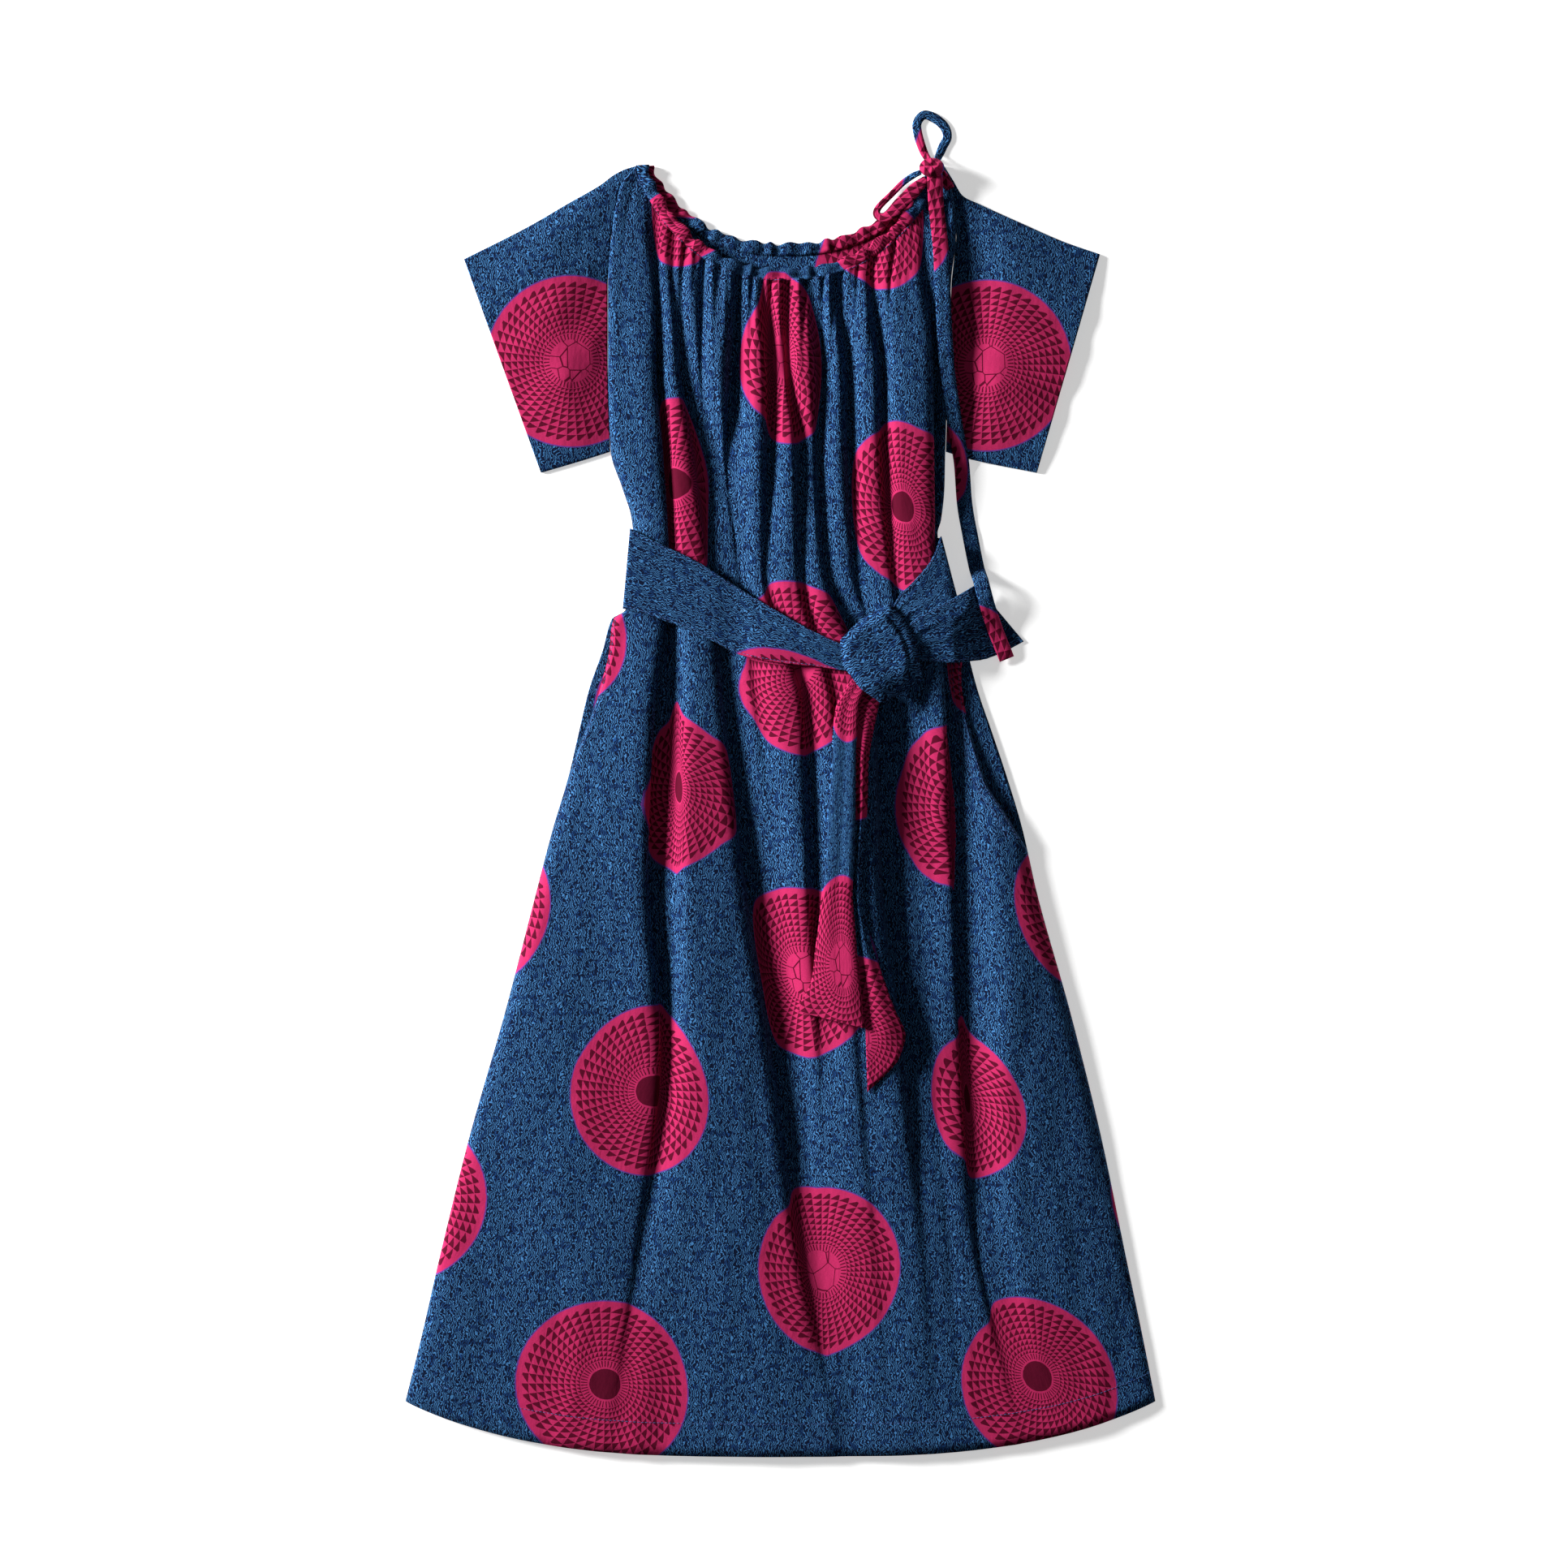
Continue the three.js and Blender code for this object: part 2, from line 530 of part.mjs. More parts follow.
// Neck casing: a folded strip, open towards the panel, gathered along its length
function neckCasing(name, neck, gathers, base) {
  const stations = gathers * PER_GATHER;
  const samples = [];
  let total = 0;
  for (let i = 0; i <= 600; i += 1) {
    const p = neckPoint(neck, i / 600);
    if (i > 0) total += Math.hypot(p[0] - samples[i - 1].p[0], p[1] - samples[i - 1].p[1]);
    samples.push({ p, turn: i / 600, length: total });
  }
  const turnAt = smoothCurve(samples.map((s) => s.length), samples.map((s) => s.turn));
  const outer = [];
  const inner = [];
  for (let i = 0; i <= stations; i += 1) {
    const turn = turnAt((total * i) / stations);
    const wave = Math.cos((2 * Math.PI * i) / PER_GATHER) * (0.8 + 0.2 * Math.sin(i * 1.7));
    const ground = base(turn);
    const high = ground + CASING_HEIGHT + 0.7 * wave;
    const nose = 0.3 - 1.1 * wave;
    const point = (out, z) => [...neckPoint(neck, turn, Math.max(out, 0.01)), z];
    outer.push([point(CASING_WIDTH, high), point(4, high), point(nose + 1, high - 0.9),
      point(nose + 1, ground + 0.8), point(4, ground), point(CASING_WIDTH, ground)]);
    inner.push([point(CASING_WIDTH, high - WALL), point(4.4, high - WALL),
      point(nose + 2.3, high - 1.7), point(nose + 2.3, ground + 1.6), point(4.4, ground + WALL),
      point(CASING_WIDTH, ground + WALL)]);
  }
  relief.lay(outer.map((row) => row.slice(0, 3)));
  add(name, clothWall(outer, inner), CLOTH.blue);
}

// Sleeve: a flattened tube between the armhole, the shoulder line, the underarm and the cuff
function sleeve({ name, side, out, top, under }) {
  const armhole = OUTLINE.slice(0, ARMHOLE_ROWS).map((r) => [r[side] + out * 2 * SEAM, r.y]);
  const shoulder = [armhole[0], ...top];
  const underarm = [armhole[ARMHOLE_ROWS - 1], ...under];
  const fraction = (points) => {
    const lengths = [0];
    for (let i = 1; i < points.length; i += 1) {
      lengths.push(lengths[i - 1]
        + Math.hypot(points[i][0] - points[i - 1][0], points[i][1] - points[i - 1][1]));
    }
    return lengths.map((l) => l / lengths[lengths.length - 1]);
  };
  const along = (points) => {
    const t = fraction(points);
    const axis = (k) => smoothCurve(t, points.map((p) => p[k]));
    const [x, y] = [axis(0), axis(1)];
    return (u) => [x(u), y(u)];
  };
  const topAt = along(shoulder);
  const underAt = along(underarm);
  const v = fraction(armhole);
  const cuff = [shoulder[shoulder.length - 1], underarm[underarm.length - 1]];
  const heightAt = smoothCurve([0, 0.5, 1], SLEEVE_HEIGHT);
  const plan = (u, t, hole) => [0, 1].map((k) => (1 - u) * hole[k]
    + u * mix(cuff[0][k], cuff[1][k], t) + (1 - t) * topAt(u)[k] + t * underAt(u)[k]
    - (1 - u) * mix(armhole[0][k], armhole[ARMHOLE_ROWS - 1][k], t)
    - u * mix(cuff[0][k], cuff[1][k], t));
  const stations = [...new Set([...fraction(shoulder), 0.5, 0.82])].sort((a, b) => a - b);
  const outer = [];
  const inner = [];
  stations.forEach((u) => {
    const line = v.map((t, i) => plan(u, t, armhole[i]));
    const last = line.length - 1;
    const length = Math.hypot(line[0][0] - line[last][0], line[0][1] - line[last][1]);
    const near = (end, d) => (end === 0
      ? mixPoint(line[0], line[1], d / (length * v[1]))
      : mixPoint(line[last], line[last - 1], d / (length * (1 - v[last - 1]))));
    const high = v.map((t) => mix(SLEEVE_FOLD, heightAt(u), 1 - (2 * t - 1) ** 4)
      + 0.9 * Math.sin(9 * t + 4 * u) * Math.sin(Math.PI * t));
    const middle = line.slice(1, last);
    const mid = high.slice(1, last);
    outer.push([
      [...near(0, 0), SLEEVE_FOLD / 2], [...near(0, 1.4), SLEEVE_FOLD],
      ...middle.map((p, i) => [...p, mid[i]]),
      [...near(1, 1.4), SLEEVE_FOLD], [...near(1, 0), SLEEVE_FOLD / 2], [...near(1, 1.4), 0],
      ...middle.map((p) => [...p, 0]).reverse(), [...near(0, 1.4), 0],
    ]);
    inner.push([
      [...near(0, 1.5), SLEEVE_FOLD / 2], [...near(0, 2.4), SLEEVE_FOLD - WALL],
      ...middle.map((p, i) => [...p, mid[i] - WALL]),
      [...near(1, 2.4), SLEEVE_FOLD - WALL], [...near(1, 1.5), SLEEVE_FOLD / 2],
      [...near(1, 2.4), WALL], ...middle.map((p) => [...p, WALL]).reverse(),
      [...near(0, 2.4), WALL],
    ]);
  });
  relief.lay(outer.map((row) => row.slice(0, ARMHOLE_ROWS + 2)));
  add(name, clothWall(outer, inner, true), CLOTH.blue);
}

// Points across a run of sections, evenly along each edge
function sectionGrid(sections, along, across) {
  const t = sections.map((_, i) => i / (sections.length - 1));
  const axis = (edge, k) => smoothCurve(t, sections.map((s) => s[edge][k]));
  const curves = ['upper', 'lower'].map((edge) => [axis(edge, 0), axis(edge, 1)]);
  const grid = [];
  for (let i = 0; i <= along; i += 1) {
    const u = i / along;
    const row = [];
    for (let j = 0; j <= across; j += 1) {
      row.push([0, 1].map((k) => mix(curves[0][k](u), curves[1][k](u), j / across)));
    }
    grid.push(row);
  }
  return grid;
}

// A run of the sash lying on what is under it; a turned run starts down the dress's side
function sashRun(name, sections, along, across, turned) {
  const lower = sectionGrid(sections, along, across)
    .map((row) => row.map(([x, y]) => [x, y, relief.rest(x, y, SASH_REACH)]));
  if (turned) lower.unshift(lower[0].map(([x, y]) => [x, y, WALL + SEAM]));
  const upper = offsetGrid(lower, WALL);
  if (turned) {
    const out = Math.sign(sections[0].upper[0]);
    upper[0] = lower[0].map(([x, y, z]) => [x + out * WALL, y, z]);
    upper[1] = lower[1].map(([x, y, z]) => [x + out * WALL * 0.6, y, z + WALL * 0.8]);
  }
  relief.lay(upper);
  add(name, clothWall(upper, lower), CLOTH.blue);
}

function sashBack() {
  const upper = sectionGrid(SASH_BACK, 8, 2).map((row) => row.map(([x, y]) => [x, y, WALL]));
  const lower = upper.map((row) => row.map(([x, y]) => [x, y, 0]));
  add('belt_back', clothWall(upper, lower), CLOTH.blue);
}

// The long end, folded lengthwise with the crease on the viewer's left
function sashTail() {
  const outer = [];
  const inner = [];
  SASH_TAIL.forEach(({ crease, edge, under }) => {
    const middle = mixPoint(crease, edge, 0.5);
    const between = mixPoint(edge, under, 0.5);
    const at = (p, dx, dz) => [p[0] + dx, p[1], relief.rest(...p, SASH_REACH) + dz];
    const leaf = 2 * WALL + 0.4;
    outer.push([at(edge, 0, leaf), at(middle, 0, leaf + TAIL_PUFF), at(crease, 0.8, leaf),
      at(crease, 0, leaf / 2), at(crease, 0.8, 0), at(middle, 0, 0), at(edge, 0, 0),
      at(between, 0, 0), at(under, 0, 0)]);
    inner.push([at(edge, 0, leaf - WALL), at(middle, 0, leaf - WALL + TAIL_PUFF),
      at(crease, 1.9, leaf - WALL), at(crease, 1.5, leaf / 2), at(crease, 1.9, WALL),
      at(middle, 0, WALL), at(edge, 0, WALL), at(between, 0, WALL), at(under, 0, WALL)]);
  });
  relief.lay(inner.map((row) => row.slice(5)));
  relief.lay(outer.map((row) => row.slice(0, 4)));
  add('belt_tail_long', clothWall(outer, inner), CLOTH.blue);
}

// Grid over a rounded outline, from a square of side 2
function roundGrid(steps, radiusAt, centre) {
  const grid = [];
  for (let i = 0; i <= steps; i += 1) {
    const row = [];
    for (let j = 0; j <= steps; j += 1) {
      const a = (2 * i) / steps - 1;
      const b = (2 * j) / steps - 1;
      const x = a * Math.sqrt(1 - (b * b) / 2);
      const y = b * Math.sqrt(1 - (a * a) / 2);
      const radius = radiusAt(Math.atan2(y, x));
      row.push([centre[0] + x * radius, centre[1] + y * radius, Math.hypot(x, y)]);
    }
    grid.push(row);
  }
  return grid;
}

// Distance from a centre to an outline in a direction
function outlineRadius(outline, centre) {
  return (angle) => {
    const [dx, dy] = [Math.cos(angle), Math.sin(angle)];
    let best = 0;
    outline.forEach((p, i) => {
      const q = outline[(i + 1) % outline.length];
      const [px, py] = [p[0] - centre[0], p[1] - centre[1]];
      const [ex, ey] = [q[0] - p[0], q[1] - p[1]];
      const cross = dx * ey - dy * ex;
      const t = (px * ey - py * ex) / cross;
      const w = (px * dy - py * dx) / cross;
      if (t > 0 && w >= 0 && w <= 1) best = Math.max(best, t);
    });
    return best;
  };
}

// The sash's knot: a creased dome of cloth, open beneath
function sashKnot() {
  const plan = roundGrid(8, outlineRadius(KNOT_OUTLINE, KNOT_CENTRE), KNOT_CENTRE);
  const lower = plan.map((row) => row.map(([x, y, r]) => {
    const crease = KNOT_CREASE * Math.cos((x * 0.8 + y * 0.6) / 6) * (1 - r * r);
    return [x, y, relief.rest(x, y, 8) + KNOT_RISE * Math.sqrt(Math.max(1 - r * r, 0)) + crease];
  }));
  const upper = offsetGrid(lower, WALL);
  relief.lay(upper);
  add('belt_knot', clothWall(upper, lower), CLOTH.blue);
}

// A pressed tube of cloth along a centre line, lying on what is under it
function tieRun(name, points, stations, color) {
  const t = points.map((_, i) => i / (points.length - 1));
  const curve = new THREE.CatmullRomCurve3(points.map((p) => new THREE.Vector3(p[0], p[1], 0)));
  const widthAt = smoothCurve(t, points.map((p) => p[2] || TIE_WIDTH));
  const upper = [];
  const lower = [];
  for (let i = 0; i <= stations; i += 1) {
    const u = curve.getUtoTmapping(i / stations);
    const p = curve.getPoint(u);
    const tangent = curve.getTangent(u);
    const half = widthAt(u) / 2;
    const ground = relief.rest(p.x, p.y, half + 3);
    const point = (across, z) => [p.x - tangent.y * across, p.y + tangent.x * across, ground + z];
    const thick = mix(3, TIE_THICK, clamp((half - 3) / 3, 0, 1));
    upper.push([point(-half, thick * 0.4), point(-half + 1.2, thick), point(half - 1.2, thick),
      point(half, thick * 0.4)]);
    lower.push([point(-half + 0.7, 0), point(-half / 3, 0), point(half / 3, 0),
      point(half - 0.7, 0)]);
  }
  relief.lay(upper);
  add(name, clothWall(upper, lower), color);
}

function tieKnot() {
  const { x: cx, y: cy, halfX, halfY, rise } = TIE_KNOT;
  const radius = (a) => 1 / Math.hypot(Math.cos(a) / halfX, Math.sin(a) / halfY);
  const plan = roundGrid(6, radius, [cx, cy]);
  const lower = plan.map((row) => row.map(([x, y]) => [x, y, relief.rest(x, y, 7)]));
  const upper = plan.map((row, i) => row.map(([x, y, r], j) => [x, y, lower[i][j][2] + 1
    + rise * Math.sqrt(Math.max(1 - r * r, 0)) * (0.88 + 0.12 * Math.cos((x - y) / 2.2))]));
  relief.lay(upper);
  add('tie_knot', clothWall(upper, lower), CLOTH.pink);
}

sashBack();
backPanel();
neckCasing('neck_casing_back', BACK_NECK, BACK_GATHERS, () => 0);
sleeve(SLEEVE_RIGHT);
sleeve(SLEEVE_LEFT);
neckCasing('neck_casing_front', FRONT_NECK, FRONT_GATHERS,
  (turn) => mix(WALL + SEAM, CASING_HEIGHT + 1.1, ease((Math.abs(2 * turn - 1) - 0.1) / 0.25)));
pocketFacing('pocket_facing_right', seamRight, pocketRight, -1, 135, 15);
pocketFacing('pocket_facing_left', seamLeft, pocketLeft, 1, 121, -50);
frontPanel();
sashRun('belt_wrap', SASH_WRAP, 8, 6, true);
sashRun('belt_band', SASH_BAND, 19, 7, true);
sashRun('belt_end_short', SASH_END, 13, 6, false);
sashTail();
sashKnot();
tieRun('tie_loop_lower', TIE_LOWER, 21, CLOTH.pink);
tieRun('tie_tail_short', TIE_SHORT, 3, CLOTH.pink);
tieRun('tie_loop_upper', TIE_UPPER, 19, CLOTH.blue);
tieRun('tie_tail_long', TIE_TAIL, 33, CLOTH.blue);
tieKnot();

export default dress;
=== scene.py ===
import math

import bpy
import numpy as np
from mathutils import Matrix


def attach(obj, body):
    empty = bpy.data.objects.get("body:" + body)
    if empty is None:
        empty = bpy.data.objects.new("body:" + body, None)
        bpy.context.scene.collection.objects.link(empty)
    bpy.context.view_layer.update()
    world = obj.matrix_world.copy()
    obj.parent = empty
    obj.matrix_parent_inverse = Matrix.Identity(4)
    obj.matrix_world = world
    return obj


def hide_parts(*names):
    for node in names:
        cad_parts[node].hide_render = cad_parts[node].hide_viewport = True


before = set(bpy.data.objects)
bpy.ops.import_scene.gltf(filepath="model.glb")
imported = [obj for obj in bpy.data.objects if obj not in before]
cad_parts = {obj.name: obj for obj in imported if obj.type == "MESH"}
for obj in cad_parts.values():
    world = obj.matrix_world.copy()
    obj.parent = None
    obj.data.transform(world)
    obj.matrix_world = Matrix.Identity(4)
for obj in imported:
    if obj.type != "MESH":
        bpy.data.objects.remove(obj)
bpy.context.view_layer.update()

bl_info = {
    "name": "Printed cotton dress",
    "version": (1, 0, 0),
    "blender": (4, 5, 0),
    "location": "View3D > Sidebar > Dress",
    "description": "A gathered cotton dress with a disc print, lying on its back",
    "category": "Object",
}

MM = 0.001

# The tables below are in millimetres, in the part's frame; right and left are the wearer's.
WALL = 1.2
SEAM = 0.3
REST_GAP = 0.35
SHOULDER_Y = 548.6
PANEL_LOW = 2.9
SASH_LIFT = 1.5
SASH_BACK_LOW, SASH_BACK_HIGH, SASH_BACK_EASE = 152, 228, 11
ARMHOLE_LOW = 6.6
EDGE_ROLL = 14.0
HEM_CORNER_Y = -549.0
HEM_DROP = 48.6
NECK_X = 3.2
NECK_POWER = 2.4
NECK_ROUND = 0.8
HEM_POWER = 3.2
FRONT_NECK = {"right": 119.5, "left": 129.6, "drop": 90.0}
BACK_NECK = {"right": 115.2, "left": 126.0, "drop": 67.7}
CASING_WIDTH = 10.0
CASING_HEIGHT = 4.4
FRONT_GATHERS = 20
BACK_GATHERS = 18
GATHER_HEIGHT = 2.2
GATHER_REACH = 40.0
NECK_BLEND_Y = 300.0
HEM_BLEND_Y = -170.0

# Body outline: height, wearer's right seam, wearer's left seam
OUTLINE = np.array([
    (548.6, -127.8, 145.1), (529.2, -142.2, 152.3), (486.0, -150.1, 155.9),
    (446.4, -153.0, 151.6), (370.8, -153.0, 148.7), (294.5, -150.8, 146.5),
    (262.8, -140.8, 145.8), (234.0, -132.1, 142.8), (222.0, -131.0, 139.6),
    (190.8, -134.0, 147.6), (162.0, -137.0, 155.0), (154.0, -137.6, 156.4),
    (146.0, -149.8, 158.2), (118.0, -158.0, 166.0), (82.8, -170.3, 175.3),
    (46.8, -178.9, 187.6), (3.6, -189.0, 202.0), (-39.6, -202.0, 214.9),
    (-97.2, -217.1, 227.9), (-205.2, -245.2, 258.1), (-313.2, -276.1, 284.8),
    (-421.2, -302.8, 307.1), (-493.2, -319.3, 322.2), (-549.0, -333.2, 333.2)])
ARMHOLE_ROWS = 6

# Pocket mouths: height, how far the front stands in from the right and the left seam
POCKET = np.array([
    (160, 0, 0), (130, 4, 0), (100, 8.5, 10), (80, 9.8, 14.5), (46.8, 5.5, 18.8),
    (3.6, 0, 20.2), (-25.2, 0, 12), (-60, 0, 0)])
POCKET_TUCK = 6.0

# Rolls of the front: height, rise above the valleys before the gain
CREST_GAIN = 1.12
CREST = np.array([
    (548.6, 5), (450, 9), (371, 14), (292, 15), (235, 12), (190, 9), (140, 11), (68, 14),
    (-83, 15), (-241, 14), (-400, 10), (-530, 6.5), (-598, 5)])

# Fold valleys at each station, from the wearer's right to left: width and lean of the steep
# side, width of the soft side, place and depth
STATIONS = np.array([450, 371, 292, 191, 68, -83, -241, -400, -572])
FOLDS = {
    "right_roll": (6, 1.35, (8, 9, 9, 10, 26, 24, 18, 16, 14),
                   (-112, -112, -105.5, -100.4, -112.7, -118.4, -106.2, -123.5, -147.2),
                   (0.85, 0.97, 0.98, 0.98, 0.95, 0.92, 0.75, 0.35, 0.08)),
    "right_tuck": (5, 0.4, (7, 7, 7, 7, 7, 7, 7, 7, 7),
                   (-96, -96, -95, -94, -94.5, -94.5, -94.5, -94.5, -94.5),
                   (0, 0, 0, 0.05, 0.35, 0.3, 0, 0, 0)),
    "right_bust": (7, 0.8, (9, 16, 24, 26, 24, 28, 30, 30, 26),
                   (-93.2, -88.9, -76, -63, -49.3, -31.3, -6.8, 15.5, 53.6),
                   (0.55, 0.75, 0.85, 0.85, 0.75, 0.85, 0.85, 0.62, 0.22)),
    "right_fine": (4.5, 0.5, (8, 8, 8, 8, 10, 12, 14, 14, 14),
                   (-71.6, -70.2, -58.7, -40.7, -22.7, -8.3, 9.7, 27.7, 56.5),
                   (0.5, 0.4, 0.3, 0.2, 0.15, 0.1, 0.05, 0, 0)),
    "right_centre": (6, 0.6, (9, 14, 18, 14, 12, 14, 16, 16, 16),
                     (-34.9, -43.6, -47.2, -35.6, -19.1, -1.1, 16.9, 34.9, 60.1),
                     (0.75, 0.8, 0.75, 0.6, 0.3, 0.25, 0.15, 0.05, 0)),
    "centre_right": (6, 0.8, (10, 11, 11, 12, 14, 16, 16, 16, 16),
                     (-15.5, -9.7, -11.2, -13.3, 22, 28.4, 36.4, 45.7, 63.7),
                     (0.8, 0.75, 0.65, 0.5, 0.5, 0.5, 0.3, 0.1, 0.05)),
    "centre": (4.5, 0.5, (7, 7, 8, 8, 10, 12, 14, 14, 14),
               (4.7, 6.8, 16.9, 18.4, 49.3, 60.1, 70.9, 85.3, 99.7),
               (0.65, 0.6, 0.55, 0.5, 0.25, 0.2, 0.15, 0.1, 0.05)),
    "centre_left": (7, 0.7, (9, 10, 12, 14, 44, 50, 40, 26, 22),
                    (26.3, 34.9, 32.8, 40.7, 85.3, 90.4, 111.2, 128.5, 142.9),
                    (0.75, 0.85, 0.8, 0.7, 0.92, 0.92, 0.6, 0.2, 0.08)),
    "left_bust": (6, 0.7, (10, 10, 11, 12, 12, 12, 14, 14, 14),
                  (49.3, 58.7, 60.1, 65.9, 106.9, 121.3, 135.7, 150.1, 164.5),
                  (0.75, 0.8, 0.8, 0.65, 0.25, 0.25, 0.2, 0.15, 0.1)),
    "left_fine": (4.5, 0.5, (8, 8, 8, 9, 10, 10, 12, 12, 12),
                  (79.6, 88.2, 91.1, 99.7, 124.9, 135.7, 150.1, 164.5, 178.9),
                  (0.6, 0.7, 0.6, 0.5, 0.25, 0.2, 0.15, 0.1, 0.05)),
    "left_roll": (6, 1.2, (14, 14, 14, 14, 26, 36, 32, 30, 26),
                  (128.5, 135, 135.7, 137.5, 145.5, 151.5, 158.5, 172, 216.4),
                  (0.6, 0.85, 0.9, 0.9, 0.97, 0.97, 0.94, 0.55, 0.12)),
}
LEVELS = np.array([
    548.6, 536, 520, 500, 474, 444, 410, 374, 338, 300, 268, 246, 234, 222, 204, 186, 169, 154,
    146, 124, 98, 68, 36, 3.6, -33, -75, -120, -170, -222, -276, -332, -390, -450, -506, -549])

# Where the print's disc columns run on the body: height, then the place of each column
GRAIN_X = np.array([
    (500, -228, -90, 0, 78, 190), (378, -232, -94, 2.5, 96, 196),
    (255, -220, -94.7, 9, 108, 196), (100, -208, -92, 17, 138, 206),
    (-10, -250, -89, 19, 150, 240), (-150, -284, -101, 20, 156, 292),
    (-277, -308, -116, 27, 166, 322), (-432, -345, -139, 36.4, 192, 368),
    (-530, -368, -154.4, 43, 226, 396), (-600, -380, -162, 48, 245, 420)])
# How far the print has slipped down the body there: height, then the slip of each column
GRAIN_SLIP = np.array([
    (500, -20, -31, -10, -10, 0), (255, -25, -31, -6, -10, 0), (110, -30, -31, 0, -12, -8),
    (-10, -46, -31, 0, -13, -40), (-112, -57, -31, 0, -16, -57), (-275, -63, -31, -2, -23, -60),
    (-530, -70, -40, -6, -47, -70)])
# Distance between two columns on flat cloth, and the cloth height of a disc in the middle one
COLUMN_SPACING = 205.0
FIRST_DISC = -169.0
# The narrow tuck of the skirt holds much cloth for its depth
TUCK_HOLD = 15.0

# Share of the way from armhole to cuff
SLEEVE_PLACES = (0, 0.2, 0.5, 1)
SLEEVE_FOLD = 3.0
SLEEVES = {
    "sleeve_right": dict(
        side=1, out=-1, disc=(-185.4, 374.4), heights=(4.2, 7.5, 11, 6.4),
        top=((-137.9, 545.8), (-148, 540.7), (-159.5, 532.1), (-188.3, 515.5), (-224.3, 494.6),
             (-281.2, 465.8)),
        under=((-173.9, 287.3), (-212.8, 275.8))),
    "sleeve_left": dict(
        side=2, out=1, disc=(182.5, 370.8), heights=(3.4, 3.8, 10, 6.4),
        top=((153.5, 536), (162.4, 522), (176.8, 514.8), (214.9, 497.5), (250.9, 481.7),
             (284, 470.2)),
        under=((168.1, 288), (227.9, 275.8))),
}

# Sash runs: upper edge and lower edge of each section
SASH = {
    "belt_back": (((-133.4, 225.2), (-139.8, 155)), ((142.6, 218), (157.8, 162.2))),
    "belt_wrap": (((141.7, 218.2), (156.8, 162)), ((133.6, 198), (142.9, 151)),
                  ((119.2, 180), (128.5, 139)), ((103.3, 163.4), (112.7, 131)),
                  ((96, 146), (103, 125))),
    "belt_band": (((-132.4, 225.4), (-138.8, 154.8)), ((-105.5, 211.7), (-105.5, 144.7)),
                  ((-73.1, 195.8), (-73.1, 132.5)), ((-33.5, 170.6), (-33.5, 113)),
                  ((-1.1, 151.2), (-1.1, 106.6)), ((31.3, 133.2), (31.3, 103)),
                  ((60.1, 121), (63.7, 99)), ((76, 118), (77, 100))),
    "belt_end_short": (((104, 132), (108, 106)), ((122, 146.5), (128, 108)),
                       ((140, 157), (150, 106.6)), ((157.3, 166.3), (178, 109.5)),
                       ((166, 171.5), (198, 116.5)), ((173.9, 176.4), (216.4, 126))),
}
# Long end of the sash: crease, edge of the upper leaf, edge of the lower leaf
SASH_TAIL = np.array([
    (62, 92, 80, 92, 91, 92), (49.3, 68.4, 69.5, 68.4, 87, 68.4),
    (46.4, 46.8, 68, 46.8, 82.4, 46.8), (45, 18, 66.6, 18, 78, 18),
    (41.4, -25.2, 66.6, -25.2, 76.7, -25.2), (39.2, -68.4, 65.2, -68.4, 72.6, -68.4),
    (36.4, -97.2, 63.7, -97.2, 73.4, -97.2), (33.5, -126, 65.9, -126, 79, -135),
    (30.6, -148, 68, -152, 87, -160), (27.7, -173, 70.9, -180, 100, -197),
    (20, -190, 73, -203, 110.5, -223), (16.5, -196, 74, -210, 104.8, -243),
    (14, -201.6, 75.2, -216.5, 77, -273)])
SASH_REACH = 20.0
TAIL_REACH = 12.0
TAIL_PUFF = 2.4
TAIL_CURL = 2.6
KNOT_CENTRE = (90.0, 113.0)
KNOT_OUTLINE = np.array([
    (53.6, 126), (70.9, 144), (96.1, 158.4), (106.9, 146.2), (118.4, 126), (124.9, 91.4),
    (108.4, 81.4), (88.9, 71.3), (70.9, 84), (56, 104)])
KNOT_RISE = 7.0
KNOT_CREASE = 2.2

# Drawstring: centre line and the width seen from above
TIE_THICK = 2.4
TIE_WIDTH = 13.7
TIE_TAIL = np.array([
    (136.5, 541), (137.8, 514.8), (141.5, 478.8), (143.6, 442.8), (145.1, 406.8), (148, 363.6),
    (154.4, 320.4), (160.9, 284.4), (163.8, 248.4), (168.8, 219.6), (174.6, 190.8), (181.8, 162),
    (190.4, 136.8), (201.2, 110.2)])
TIE_SHORT = np.array([(141, 543.5, 6), (146, 535.5, 8.5), (150.6, 527, 8)])
TIE_UPPER = np.array([
    (131.3, 552.5, 6), (126, 565, 7.5), (122.3, 577, 8), (121.6, 587, 8), (127.5, 594, 8),
    (136.5, 591.5, 8.5), (145.5, 584, 8.5), (148.4, 574.5, 8), (144, 565, 8), (138.9, 552.5, 6)])
TIE_LOWER = np.array([
    (124.5, 541.5, 4.5), (118, 539, 5.5), (108.8, 533.2, 5.6), (98, 522.4, 5.6), (87.4, 511.4, 6),
    (85.6, 505, 7), (90.5, 502, 8), (97.5, 504.5, 10), (107, 514, 12), (117.6, 524.4, 12),
    (129, 535.3, 7)])
TIE_KNOT = {"x": 134.0, "y": 545.0, "half_x": 11.0, "half_y": 9.0, "rise": 6.5}


